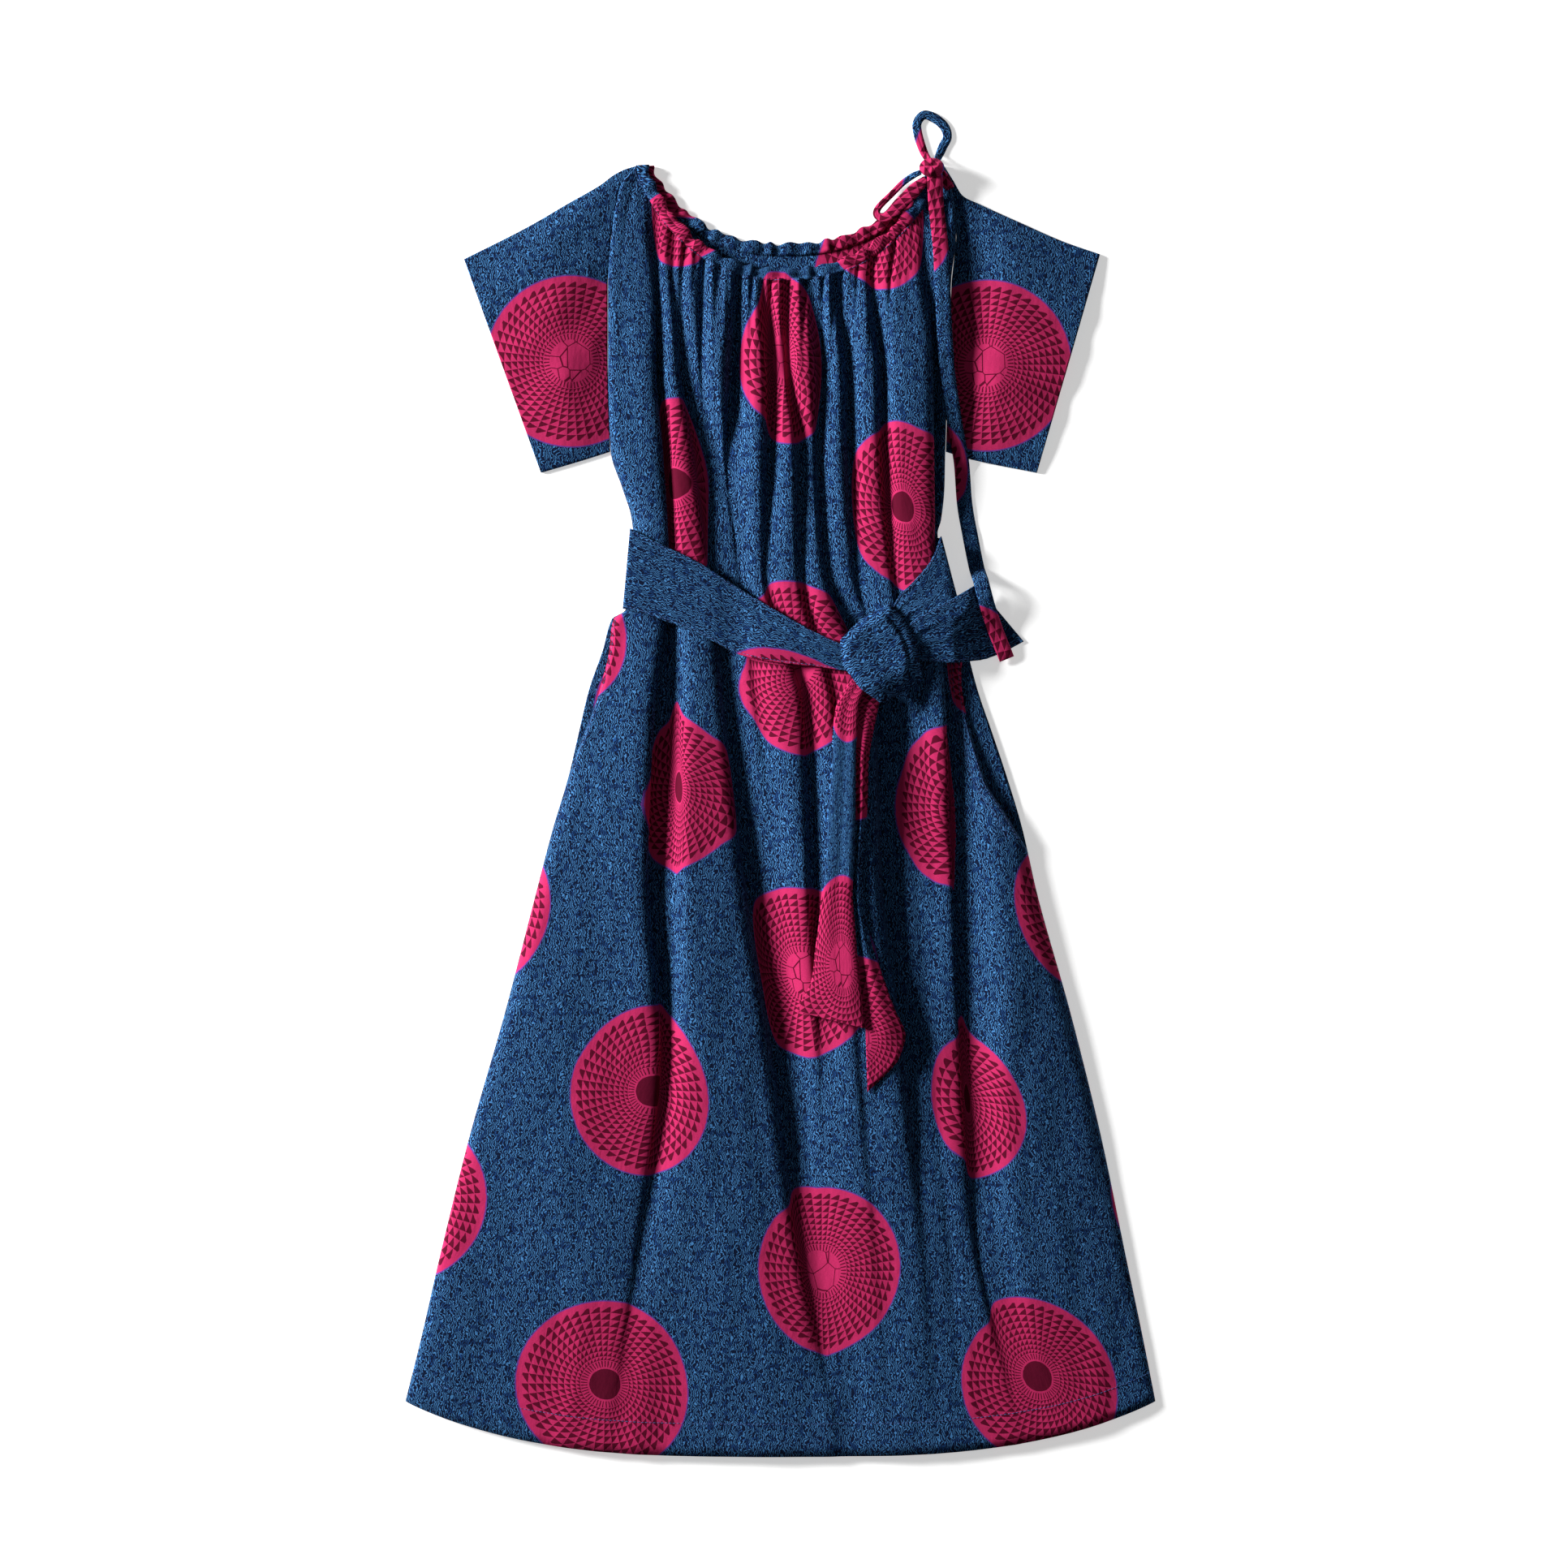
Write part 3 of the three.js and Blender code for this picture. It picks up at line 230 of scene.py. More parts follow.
class DressSizes(bpy.types.PropertyGroup):
    """Sizes of the print, the stitching and the stage."""
    disc_radius: bpy.props.FloatProperty(
        name="Disc radius", description="Radius of the print's discs",
        default=0.0765, unit="LENGTH")
    column_spacing: bpy.props.FloatProperty(
        name="Column spacing", description="Distance between two columns of discs",
        default=0.205, unit="LENGTH")
    row_spacing: bpy.props.FloatProperty(
        name="Row spacing", description="Distance between two discs of a column",
        default=0.269, unit="LENGTH")
    sectors: bpy.props.IntProperty(
        name="Sectors", description="Triangles round one ring of a disc", default=46)
    rings: bpy.props.IntProperty(
        name="Rings", description="Rings of triangles in a disc", default=9)
    stitch_length: bpy.props.FloatProperty(
        name="Stitch length", description="Length of one machine stitch",
        default=0.0028, unit="LENGTH")
    view_width: bpy.props.FloatProperty(
        name="View width", description="Width of floor that the camera sees",
        default=1.391, unit="LENGTH")


def colour(name, description, default):
    """Property that holds one colour."""
    return bpy.props.FloatVectorProperty(
        name=name, description=description, subtype="COLOR", default=default, min=0, max=1)


class DressColours(bpy.types.PropertyGroup):
    """Colours of the cloth and the floor."""
    navy: colour("Navy", "Ground of the print", (0.0025, 0.006, 0.022))
    mid_blue: colour("Mid blue", "Fainter strokes on the ground", (0.005, 0.024, 0.082))
    bright_blue: colour("Bright blue", "Strokes on the ground", (0.044, 0.152, 0.335))
    pink: colour("Pink", "Discs", (0.375, 0.017, 0.084))
    plum: colour("Plum", "Triangles and dark centres", (0.075, 0.002, 0.014))
    violet: colour("Violet", "Line round a disc, where the dyes overlap", (0.10, 0.03, 0.20))
    thread: colour("Thread", "Sewing thread", (0.012, 0.03, 0.10))
    floor: colour("Floor", "Pale floor", (0.80, 0.80, 0.796))


def ease(t):
    """Zero to one with level ends: t squared times (3 - 2 t)."""
    t = np.clip(t, 0, 1)
    return t * t * (3 - 2 * t)


def smooth_curve(xs, ys):
    """Cubic pieces through the samples, their slopes the harmonic mean of the chords beside."""
    order = np.argsort(xs)
    x = np.asarray(xs, float)[order]
    y = np.asarray(ys, float)[order]
    slope = np.diff(y) / np.diff(x)
    a, b = slope[:-1], slope[1:]
    total = np.where(a + b == 0, 1, a + b)
    inner = np.where(a * b <= 0, 0, 2 * a * b / total)
    tangent = np.concatenate([slope[:1], inner, slope[-1:]])

    def at(value):
        v = np.clip(value, x[0], x[-1])
        i = np.clip(np.searchsorted(x, v, side="right") - 1, 0, len(x) - 2)
        h = x[i + 1] - x[i]
        t = (v - x[i]) / h
        u = 1 - t
        return (y[i] * (1 + 2 * t) * u * u + tangent[i] * h * t * u * u
                + y[i + 1] * t * t * (3 - 2 * t) - tangent[i + 1] * h * t * t * u)
    return at


seam_right = smooth_curve(OUTLINE[:, 0], OUTLINE[:, 1])
seam_left = smooth_curve(OUTLINE[:, 0], OUTLINE[:, 2])
pocket_right = smooth_curve(POCKET[:, 0], POCKET[:, 1])
pocket_left = smooth_curve(POCKET[:, 0], POCKET[:, 2])
crest_at = smooth_curve(CREST[:, 0], CREST[:, 1] * CREST_GAIN)
FOLD_CURVES = [(steep, lean, *(smooth_curve(STATIONS, row) for row in rows))
               for steep, lean, *rows in FOLDS.values()]


def front_right(y):
    """Wearer's right edge of the front."""
    return seam_right(y) + pocket_right(y)


def front_left(y):
    """Wearer's left edge of the front."""
    return seam_left(y) - pocket_left(y)


def hem_y(x):
    """Hem: a shallow bow, its drop times one minus the distance from the middle to 3.2."""
    q = np.clip(x / seam_left(HEM_CORNER_Y), -1, 1)
    return HEM_CORNER_Y - HEM_DROP * (1 - np.abs(q) ** HEM_POWER)


def neck_point(neck, turn, out=0.0):
    """Neck curve: a rounded bow from shoulder to shoulder, moved out along its normal."""
    def place(a):
        q = np.sin(a)
        half = np.where(q < 0, neck["right"], neck["left"])
        drop = neck["drop"] * np.maximum(1 - np.abs(q) ** NECK_POWER, 0) ** NECK_ROUND
        return NECK_X + q * half, SHOULDER_Y - drop
    a = np.pi * (np.asarray(turn, float) - 0.5)
    x, y = place(a)
    x0, y0 = place(np.maximum(a - 0.004, -np.pi / 2))
    x1, y1 = place(np.minimum(a + 0.004, np.pi / 2))
    tx, ty = x1 - x0, y1 - y0
    length = np.hypot(tx, ty)
    length = np.where(length == 0, 1, length)
    return x + ty / length * out, y - tx / length * out


def neck_edge(neck, gap):
    """Height of a panel's upper edge at a place across it."""
    x, y = neck_point(neck, np.linspace(0, 1, 481), CASING_WIDTH + gap)
    x = np.maximum.accumulate(x)

    def at(value):
        inside = np.interp(value, x, y)
        beyond = (value <= x[0]) | (value >= x[-1])
        return np.where(beyond, SHOULDER_Y, np.minimum(inside, SHOULDER_Y))
    return at


front_top = neck_edge(FRONT_NECK, 2 * SEAM)
back_top = neck_edge(BACK_NECK, 5 * SEAM)


def panel_plan(s, levels, edge_right, edge_left, top):
    """Plan grid of a panel: across by a share of its width, down by the side seam's height,
    with the rows bent to the neck above and to the hem below."""
    s, level = np.meshgrid(s, levels)

    def x_at(y):
        return edge_right(y) + (edge_left(y) - edge_right(y)) * s
    low = np.full_like(s, NECK_BLEND_Y)
    high = np.full_like(s, SHOULDER_Y)
    for _ in range(40):
        middle = (low + high) / 2
        above = middle > top(x_at(middle))
        high = np.where(above, middle, high)
        low = np.where(above, low, middle)
    end = np.full_like(s, HEM_CORNER_Y)
    for _ in range(6):
        end = hem_y(x_at(np.maximum(end, HEM_CORNER_Y)))
    up = (level - NECK_BLEND_Y) / (SHOULDER_Y - NECK_BLEND_Y)
    down = (HEM_BLEND_Y - level) / (HEM_BLEND_Y - HEM_CORNER_Y)
    y = np.where(level > NECK_BLEND_Y, NECK_BLEND_Y + (low - NECK_BLEND_Y) * up,
                 np.where(level < HEM_BLEND_Y, HEM_BLEND_Y + (end - HEM_BLEND_Y) * down, level))
    return x_at(y), y, s


def sash_lift(y):
    """Rise of the panels over the sash's back run: one inside its width, eased to zero."""
    above = ease((y - SASH_BACK_LOW + SASH_BACK_EASE) / SASH_BACK_EASE)
    below = ease((SASH_BACK_HIGH + SASH_BACK_EASE - y) / SASH_BACK_EASE)
    return SASH_LIFT * above * below


def gather_share(x, y, s):
    """Gathers under the neck: three trains of waves that die out at different distances."""
    below = np.maximum(front_top(x) - y, 0)

    def pleats(reach, turns):
        return np.exp(-below / reach) * (2 * np.abs(np.cos(np.pi * turns)) - 1.2)
    middle = 1 - 0.85 * ease((np.abs(2 * s - 1) - 0.55) / 0.25)
    change = 0.65 + 0.35 * np.sin(31 * s + 0.6)
    return middle * (GATHER_HEIGHT * pleats(GATHER_REACH, FRONT_GATHERS * s)
                     + 1.4 * change * pleats(80, 33 * s + 0.4 * np.sin(9 * s))
                     + 0.4 * pleats(150, 51 * s + 0.6 * np.sin(13 * s + 1)))


def front_shape(x, y, s):
    """Front: rolls between valleys, each valley a soft bell taken out of the roll, its steep
    side leaning over it, and the side edges turned down by a quarter round."""
    from_right = x - front_right(y)
    from_left = front_left(y) - x
    inset = np.maximum(np.minimum(from_right, from_left), 0)
    pocket = np.where(from_right < from_left, pocket_right(y), pocket_left(y))
    edge_low = np.maximum(PANEL_LOW + sash_lift(y) + SASH_LIFT * ease(pocket / 0.8),
                          ARMHOLE_LOW * ease((y - 285) / 20))
    low = edge_low + (PANEL_LOW + sash_lift(y) - edge_low) * ease(inset / EDGE_ROLL)
    edge = EDGE_ROLL - 9 * ease(pocket / 3)
    roll = np.sqrt(1 - (1 - np.minimum(inset / edge, 1)) ** 2)
    below = np.maximum(front_top(x) - y, 0)
    settle = 0.55 + 0.45 * ease(below / 70)
    valleys = np.ones_like(x)
    lean_x = np.zeros_like(x)
    for steep, lean, soft, place, deep in FOLD_CURVES:
        away = x - place(y)
        width = np.where(away < 0, steep, soft(y))
        power = np.where(away < 0, 2, 2 + 1.6 * ease((soft(y) - 12) / 14))
        valleys = valleys * (1 - deep(y) * np.exp(-np.abs(away / width) ** power))
        lean_x += (lean * steep * deep(y) * ease((below - 20) / 90)
                   * np.exp(-((away + 1.15 * steep) / (0.8 * steep)) ** 2))
    uneven = 1 + 0.12 * np.sin(x / 23 + y / 140)
    first_roll = FOLD_CURVES[0][3](y)
    tilt = (x - front_right(y)) / (first_roll - front_right(y))
    uneven = uneven * np.where(x < first_roll, 0.5 + 0.55 * np.clip(tilt, 0, 1) ** 0.8, 1.05)
    last_roll = FOLD_CURVES[-1][3](y)
    fall = np.clip((x - last_roll) / (front_left(y) - last_roll), 0, 1) ** 1.2
    uneven = uneven * (1 - 0.6 * fall * ease((175 - y) / 40))
    gather = gather_share(x, y, s) * roll
    fine = roll * ease(below / 90) * (
        0.35 * np.sin(x / 5.3 + 2.2 * np.sin(y / 61)) * (0.5 + 0.5 * np.sin(y / 83 + x / 40))
        + 0.3 * np.sin(x / 9.1 - y / 37 + 1.5 * np.sin(y / 90)))
    z = low + np.maximum(crest_at(y) * settle * uneven * roll * valleys + gather + fine * 0.8, 0)
    return np.stack([x + lean_x * roll, y, z], axis=-1)


def grain(x, y):
    """Place on the cloth, row by row: plain cloth lies nearly flat between two columns of the
    print, and what is left over goes into the folds between them, the deepest most."""
    share = np.arange(-2, 3) * COLUMN_SPACING
    peaks = np.zeros_like(x)
    for name, (steep, _, _, place, deep) in zip(FOLDS, FOLD_CURVES):
        away = x - place(y)
        width = np.where(away < 0, steep * 0.8, 5.5)
        hold = TUCK_HOLD if name == "right_tuck" else 1
        peaks += hold * deep(y) ** 2 * np.exp(-(away / width) ** 2)
    most = 30 - 21 * ease((y[:, 0] - 150) / 60)
    u = np.empty_like(x)
    v = np.empty_like(x)
    columns = [smooth_curve(GRAIN_X[:, 0], GRAIN_X[:, k]) for k in range(1, 6)]
    slips = [smooth_curve(GRAIN_SLIP[:, 0], GRAIN_SLIP[:, k]) for k in range(1, 6)]
    for r in range(x.shape[0]):
        row_x, row_y = x[r], float(y[r, x.shape[1] // 2])
        mean = (peaks[r, 1:] + peaks[r, :-1]) / 2
        folded = np.concatenate([[0], np.cumsum(np.diff(row_x) * mean)])
        at = np.array([c(row_y) for c in columns])
        at_folded = np.interp(at, row_x, folded)
        span, fold = np.diff(at), np.diff(at_folded)
        take = np.clip((COLUMN_SPACING - 1.05 * span) / np.maximum(fold, 0.5), 0, most[r])
        plain = (COLUMN_SPACING - take * fold) / span
        k = np.clip(np.searchsorted(at, row_x) - 1, 0, 3)
        u[r] = share[k] + plain[k] * (row_x - at[k]) + take[k] * (folded - at_folded[k])
        v[r] = y[r] + np.interp(u[r], share, [s(row_y) for s in slips])
    return np.stack([u, v], axis=-1)


def offset(grid, distance):
    """A grid moved along its normals, the cross products of its two central differences."""
    across = np.gradient(grid, axis=1)
    down = np.gradient(grid, axis=0)
    normal = np.cross(across, down)
    normal /= np.maximum(np.linalg.norm(normal, axis=-1, keepdims=True), 1e-9)
    flip = np.where(np.mean(normal[..., 2]) < 0, -1.0, 1.0)
    return grid + normal * flip * distance


class Relief:
    """Height of everything laid so far, on square cells, for the next piece to lie on."""
    CELL = 2.0
    X0, Y0 = -352.0, -616.0
    NX, NY = 353, 612

    def __init__(self):
        self.height = np.zeros((self.NY, self.NX))

    def lay(self, grid, fill=4):
        """Raise the cells under a grid, with extra points worked out between its rows."""
        for k in range(fill):
            part = grid[:-1] + (grid[1:] - grid[:-1]) * (k / fill)
            i = np.rint((part[..., 0] - self.X0) / self.CELL).astype(int)
            j = np.rint((part[..., 1] - self.Y0) / self.CELL).astype(int)
            np.maximum.at(self.height, (j.ravel(), i.ravel()), part[..., 2].ravel())

    def rest(self, x, y, reach=9.0):
        """Highest ground within reach, softened by the mean of nine such values near it."""
        n = int(math.ceil(reach / self.CELL))
        padded = np.pad(self.height, n)
        top = np.zeros_like(self.height)
        for dj in range(-n, n + 1):
            for di in range(-n, n + 1):
                if (di * di + dj * dj) * self.CELL ** 2 <= reach ** 2:
                    top = np.maximum(top, padded[n + dj:n + dj + self.NY, n + di:n + di + self.NX])
        total = self.sample(top, x, y)
        for k in range(8):
            a = k * math.pi / 4
            total = total + self.sample(top, x + 0.45 * reach * math.cos(a),
                                        y + 0.45 * reach * math.sin(a))
        ground = total / 9
        return ground + np.minimum(REST_GAP, ground)

    def sample(self, field, x, y):
        """Value between four cells, by their shares."""
        fx = np.clip((x - self.X0) / self.CELL, 0, self.NX - 1.001)
        fy = np.clip((y - self.Y0) / self.CELL, 0, self.NY - 1.001)
        i, j = fx.astype(int), fy.astype(int)
        a, b = fx - i, fy - j
        return ((field[j, i] * (1 - a) + field[j, i + 1] * a) * (1 - b)
                + (field[j + 1, i] * (1 - a) + field[j + 1, i + 1] * a) * b)


def fractions(points):
    """Share of a broken line's length reached at each of its points."""
    steps = np.linalg.norm(np.diff(points, axis=0), axis=1)
    length = np.concatenate([[0], np.cumsum(steps)])
    return length / length[-1]


def levels_in(parts):
    """Row heights of a panel, each step between two levels cut into equal parts."""
    steps = len(LEVELS) - 1
    return np.interp(np.linspace(0, steps, steps * parts + 1), np.arange(steps + 1), LEVELS)


def front_grids():
    """Front panel: outer and inner wall and the cloth coordinates."""
    x, y, s = panel_plan(np.linspace(0, 1, 260), levels_in(5), front_right, front_left, front_top)
    outer = front_shape(x, y, s)
    step = np.hypot(np.diff(outer[..., 0]), 0.8 * np.diff(outer[..., 2]))
    run = np.cumsum(np.pad(step, ((0, 0), (1, 0))), axis=1)
    run -= run[:, [run.shape[1] // 2]]
    return outer, offset(outer, -WALL), grain(x, y), np.stack([run, y], axis=-1)


def back_grids():
    """Back panel: flat on the floor, raised a little over the sash's back run."""
    x, y, _ = panel_plan(np.linspace(0, 1, 120), levels_in(4), seam_right, seam_left, back_top)
    soft = 0.25 * np.sin(x / 31 + 1.3 * np.sin(y / 77)) * np.sin(y / 120 + x / 90)
    outer = np.stack([x, y, WALL + sash_lift(y) + 0 * x], axis=-1)
    inner = outer - np.array([0, 0, WALL])
    outer[..., 2] += np.minimum(soft, 0)
    return outer, inner, np.stack([x + 100, y + 60], axis=-1)


def casing_grids(neck, gathers, base, foot, panel_uv):
    """Neck casing: a folded strip with its open side at the panel, gathered in waves whose
    height and depth change along it."""
    fine = np.linspace(0, 1, 1601)
    fx, fy = neck_point(neck, fine)
    length = np.concatenate([[0], np.cumsum(np.hypot(np.diff(fx), np.diff(fy)))])
    stations = gathers * 16
    turn = np.interp(np.linspace(0, length[-1], stations + 1), length, fine)
    phase = 2 * np.pi * np.arange(stations + 1) / 16
    wobble = phase + 0.5 * np.sin(phase * 0.37) + 0.4 * np.sin(phase * 0.61 + 1)
    wave = np.cos(wobble) * (0.75 + 0.25 * np.sin(phase * 0.29))
    ground = base(turn)
    high = ground + CASING_HEIGHT + 0.9 * wave
    nose = 0.2 - 1.5 * wave - 0.7 * np.cos(phase * 0.53 + 0.4)
    profile = [(CASING_WIDTH + 2.2, foot + WALL), (CASING_WIDTH, high - 0.6 + 0.5 * wave),
               (8.2, high - 0.9 + 0.6 * wave), (6.4, high - 0.1 + 0.4 * wave), (4, high + 0.2),
               (nose + 2.2, high - 0.1), (nose + 1.2, high - 0.8), (nose + 1, (high + ground) / 2),
               (nose + 1.2, ground + 0.7), (4, ground), (CASING_WIDTH, ground)]
    inner = [(CASING_WIDTH + 2.2, foot), (CASING_WIDTH, high - WALL - 0.6 + 0.5 * wave),
             (8.2, high - WALL - 0.9 + 0.6 * wave), (6.4, high - WALL - 0.1 + 0.4 * wave),
             (4.4, high - WALL), (nose + 2.8, high - 1.4), (nose + 2.4, high - 1.7),
             (nose + 2.3, (high + ground) / 2), (nose + 2.4, ground + 1.6), (4.4, ground + WALL),
             (CASING_WIDTH, ground + WALL)]

    def grid(rows):
        columns = []
        for out, z in rows:
            x, y = neck_point(neck, turn, np.maximum(out + 0 * turn, 0.01))
            columns.append(np.stack([x, y, z + 0 * turn], axis=-1))
        return np.stack(columns, axis=1)
    x, y = neck_point(neck, turn, CASING_WIDTH)
    along = panel_uv(x, y)
    across = np.array([-3, 0, 2, 4, 6.5, 9, 10, 11.5, 13, 17, 23])
    uv = along[:, None, :] + np.stack([0 * across, across], axis=-1)[None]
    return grid(profile), grid(inner), uv


def sleeve_grids(side, out, disc, heights, top, under):
    """Sleeve: a flattened tube. Its plan is the patch between armhole, shoulder line, cuff and
    underarm; its height is a soft arch across, with folds that fan out from the shoulder."""
    hole = np.stack([OUTLINE[:ARMHOLE_ROWS, side] + out * 2 * SEAM, OUTLINE[:ARMHOLE_ROWS, 0]], -1)
    shoulder = np.concatenate([hole[:1], np.array(top, float)])
    underarm = np.concatenate([hole[-1:], np.array(under, float)])

    def along(points):
        t = fractions(points)
        return [smooth_curve(t, points[:, k]) for k in (0, 1)]
    v_key = fractions(hole)
    hole_at = [lambda v, k=k: np.interp(v, v_key, hole[:, k]) for k in (0, 1)]
    top_at, under_at = along(shoulder), along(underarm)
    u = np.linspace(0, 1, 90)[:, None]
    edge = np.array([0, 0.004, 0.009, 0.016])
    v_half = np.concatenate([edge, np.linspace(0.03, 0.97, 90), 1 - edge[::-1]])
    back = v_half[-2:0:-1]
    v = np.concatenate([v_half, back])[None, :]
    upper = np.concatenate([np.ones(len(v_half)), np.zeros(len(back))])[None, :] > 0
    cuff = (shoulder[-1], underarm[-1])
    plan = []
    for k in (0, 1):
        straight_hole = hole[0, k] + (hole[-1, k] - hole[0, k]) * v
        straight_cuff = cuff[0][k] + (cuff[1][k] - cuff[0][k]) * v
        plan.append((1 - u) * hole_at[k](v) + u * straight_cuff + (1 - v) * top_at[k](u)
                    + v * under_at[k](u) - (1 - u) * straight_hole - u * straight_cuff)
    x, y = plan
    height = smooth_curve(SLEEVE_PLACES, heights)(u)
    arch = SLEEVE_FOLD + (height - SLEEVE_FOLD) * (1 - (2 * v - 1) ** 4)
    width = 273.0
    round_in = np.minimum(np.minimum(v, 1 - v) * width / 1.5, 1)
    bulge = np.sqrt(np.maximum(1 - (1 - round_in) ** 2, 0))
    folds = (0.9 * np.sin(9 * v + 4 * u) + 0.5 * np.sin(23 * v - 5 * u + 1)
             + 0.35 * np.sin(41 * v + 9 * u)) * np.sin(np.pi * v)
    rise = SLEEVE_FOLD / 2 + (arch - SLEEVE_FOLD / 2) * bulge + np.where(upper, folds, 0) * bulge
    z = np.where(upper, rise, SLEEVE_FOLD / 2 * (1 - bulge))
    outer = np.stack([x, y, z], axis=-1)
    inner_x = x + (np.mean(x, axis=1, keepdims=True) - x) * 0.012
    inner_y = y + (np.mean(y, axis=1, keepdims=True) - y) * 0.012
    inner_z = np.where(upper, np.maximum(rise - WALL, SLEEVE_FOLD / 2),
                       WALL * np.minimum(bulge, 1) + SLEEVE_FOLD / 2 * (1 - bulge))
    inner = np.stack([inner_x, inner_y, inner_z], axis=-1)
    uv = np.stack([x - disc[0], y - disc[1] + FIRST_DISC], axis=-1)
    return outer, inner, uv, len(v_half)


def facing_grids(seam, inset, out, high, low):
    """Strip of pocket cloth between the front's edge and the side seam."""
    y = np.linspace(high, low, 60)[:, None] + np.zeros(12)
    edge = seam(y) - out * 0.4
    tuck = seam(y) - out * (inset(y) + POCKET_TUCK)
    x = tuck + (edge - tuck) * np.linspace(0, 1, 12)[None, :]
    outer = np.stack([x, y, 2 * WALL + SEAM + sash_lift(y)], axis=-1)
    return outer, outer - np.array([0, 0, WALL]), np.stack([x + 90, y + 40], axis=-1)


def section_plan(sections, along, across):
    """Grid between two edges, each a smooth curve through the sections' ends."""
    rows = np.array(sections, float)
    t = np.linspace(0, 1, len(rows))
    u = np.linspace(0, 1, along)
    edges = [[smooth_curve(t, rows[:, e, k])(u) for k in (0, 1)] for e in (0, 1)]
    w = np.linspace(0, 1, across)[None, :]
    x, y = [edges[0][k][:, None] * (1 - w) + edges[1][k][:, None] * w for k in (0, 1)]
    return x, y, u[:, None], w


def sash_grids(name, relief, along, across, turned, pleats, origin):
    """Sash run on what is under it, pleated towards the knot; a turned run starts with a wall
    down the dress's side."""
    x, y, u, w = section_plan(SASH[name], along, across)
    pull = ease((u - 0.35) / 0.65) if name != "belt_end_short" else ease((0.65 - u) / 0.65)
    wave = pleats * pull * (0.6 + 0.4 * np.cos(2 * np.pi * 3 * w + 3 * u))
    wave = wave * np.cos(2 * np.pi * 3.5 * w + 1.5 * u) * np.sin(np.pi * w) ** 0.5
    soft = 0.5 * np.sin(7 * u + 5 * w) * np.sin(np.pi * w)
    z = relief.rest(x, y, SASH_REACH) + np.maximum(wave + soft + 0.5, 0)
    inner = np.stack([x, y, z], axis=-1)
    outer = offset(inner, WALL)
    step = np.linalg.norm(np.diff(np.stack([x, y], -1).mean(axis=1), axis=0), axis=1)
    run = np.concatenate([[0], np.cumsum(step)])[:, None] + 0 * w
    width = np.hypot(x[:, :1] - x[:, -1:], y[:, :1] - y[:, -1:])
    uv = np.stack([origin[0] + (0.5 - w) * np.maximum(width, 46), origin[1] + run], axis=-1)
    if turned:
        side = math.copysign(WALL, x[0, 0])
        foot_in = inner[:1].copy()
        foot_in[..., 2] = WALL + SEAM
        foot_out = foot_in + np.array([side, 0, 0])
        outer[0] = inner[0] + np.array([side * 0.6, 0, WALL * 0.8])
        inner = np.concatenate([foot_in, inner])
        outer = np.concatenate([foot_out, outer])
        uv = np.concatenate([uv[:1] - np.array([0, 12.0]), uv])
    return outer, inner, uv


def tail_grids(relief):
    """Long end of the sash, folded lengthwise: upper leaf, crease on the wearer's right, lower
    leaf; every profile point rides on the ground below it."""
    t = np.linspace(0, 1, len(SASH_TAIL))
    u = np.linspace(0, 1, 150)
    crease, edge, under = [
        np.stack([smooth_curve(t, SASH_TAIL[:, k])(u) for k in (i, i + 1)], -1) for i in (0, 2, 4)]
    leaf = 2 * WALL + 0.4
    swell = 3.0 * ease(u * 4) * ease((1 - u) * 6)
    share = np.linspace(1, 0, 20)
    lower = np.linspace(0, 1, 16)
    beyond = np.linspace(0, 1, 12)[1:]
    puff = (TAIL_PUFF * np.sin(np.pi * share) + 0.5 * np.sin(3 * np.pi * share)
            + TAIL_CURL * ease((share - 0.45) / 0.55))

    def upper(row_share, dz, dx=0.0):
        p = crease + (edge - crease) * row_share
        return np.stack([p[:, 0] + dx, p[:, 1], relief.rest(p[:, 0], p[:, 1], TAIL_REACH) + dz], -1)

    def past(row_share, dz):
        p = edge + (under - edge) * row_share
        lifted = dz + swell * math.sin(math.pi * row_share) ** 2
        return np.stack([p[:, 0], p[:, 1], relief.rest(p[:, 0], p[:, 1], TAIL_REACH) + lifted], -1)
    outer = ([upper(s, leaf + d) for s, d in zip(share[:-1], puff)]
             + [upper(0, leaf, 0.9), upper(0, leaf - 0.4, 0.2), upper(0, leaf / 2),
                upper(0, 0.4, 0.2), upper(0, 0, 0.9)]
             + [upper(s, 0) for s in lower[1:]] + [past(s, 0) for s in beyond])
    inner = ([upper(s, leaf - WALL + d) for s, d in zip(share[:-1], puff)]
             + [upper(0, leaf - WALL, 1.9), upper(0, leaf - WALL, 1.7), upper(0, leaf / 2, 1.5),
                upper(0, WALL, 1.7), upper(0, WALL, 1.9)]
             + [upper(s, WALL) for s in lower[1:]] + [past(s, WALL) for s in beyond])
    outer, inner = np.stack(outer, axis=1), np.stack(inner, axis=1)
    turned = np.arange(outer.shape[1])[None, :] > 21
    from_edge = outer[..., 0] - edge[:, :1]
    across = np.concatenate([share[:-1], np.zeros(outer.shape[1] - 19)])[None, :]
    u_cloth = np.where(turned, from_edge + 13, (across - 0.62) * 70)
    v_cloth = np.where(turned, outer[..., 1] + 227, crease[:, 1:] + 157) + FIRST_DISC
    return outer, inner, np.stack([u_cloth, v_cloth], axis=-1)


def round_plan(steps, radius_at, centre):
    """Square grid drawn onto an outline, which is a circle near its middle."""
    a, b = np.meshgrid(np.linspace(-1, 1, steps), np.linspace(-1, 1, steps), indexing="ij")
    x = a * np.sqrt(1 - b * b / 2)
    y = b * np.sqrt(1 - a * a / 2)
    radius = radius_at(np.arctan2(y, x))
    middle = radius_at(np.linspace(-np.pi, np.pi, 60)).mean()
    radius = middle + (radius - middle) * (x * x + y * y)
    return centre[0] + x * radius, centre[1] + y * radius, np.minimum(np.hypot(x, y), 1)


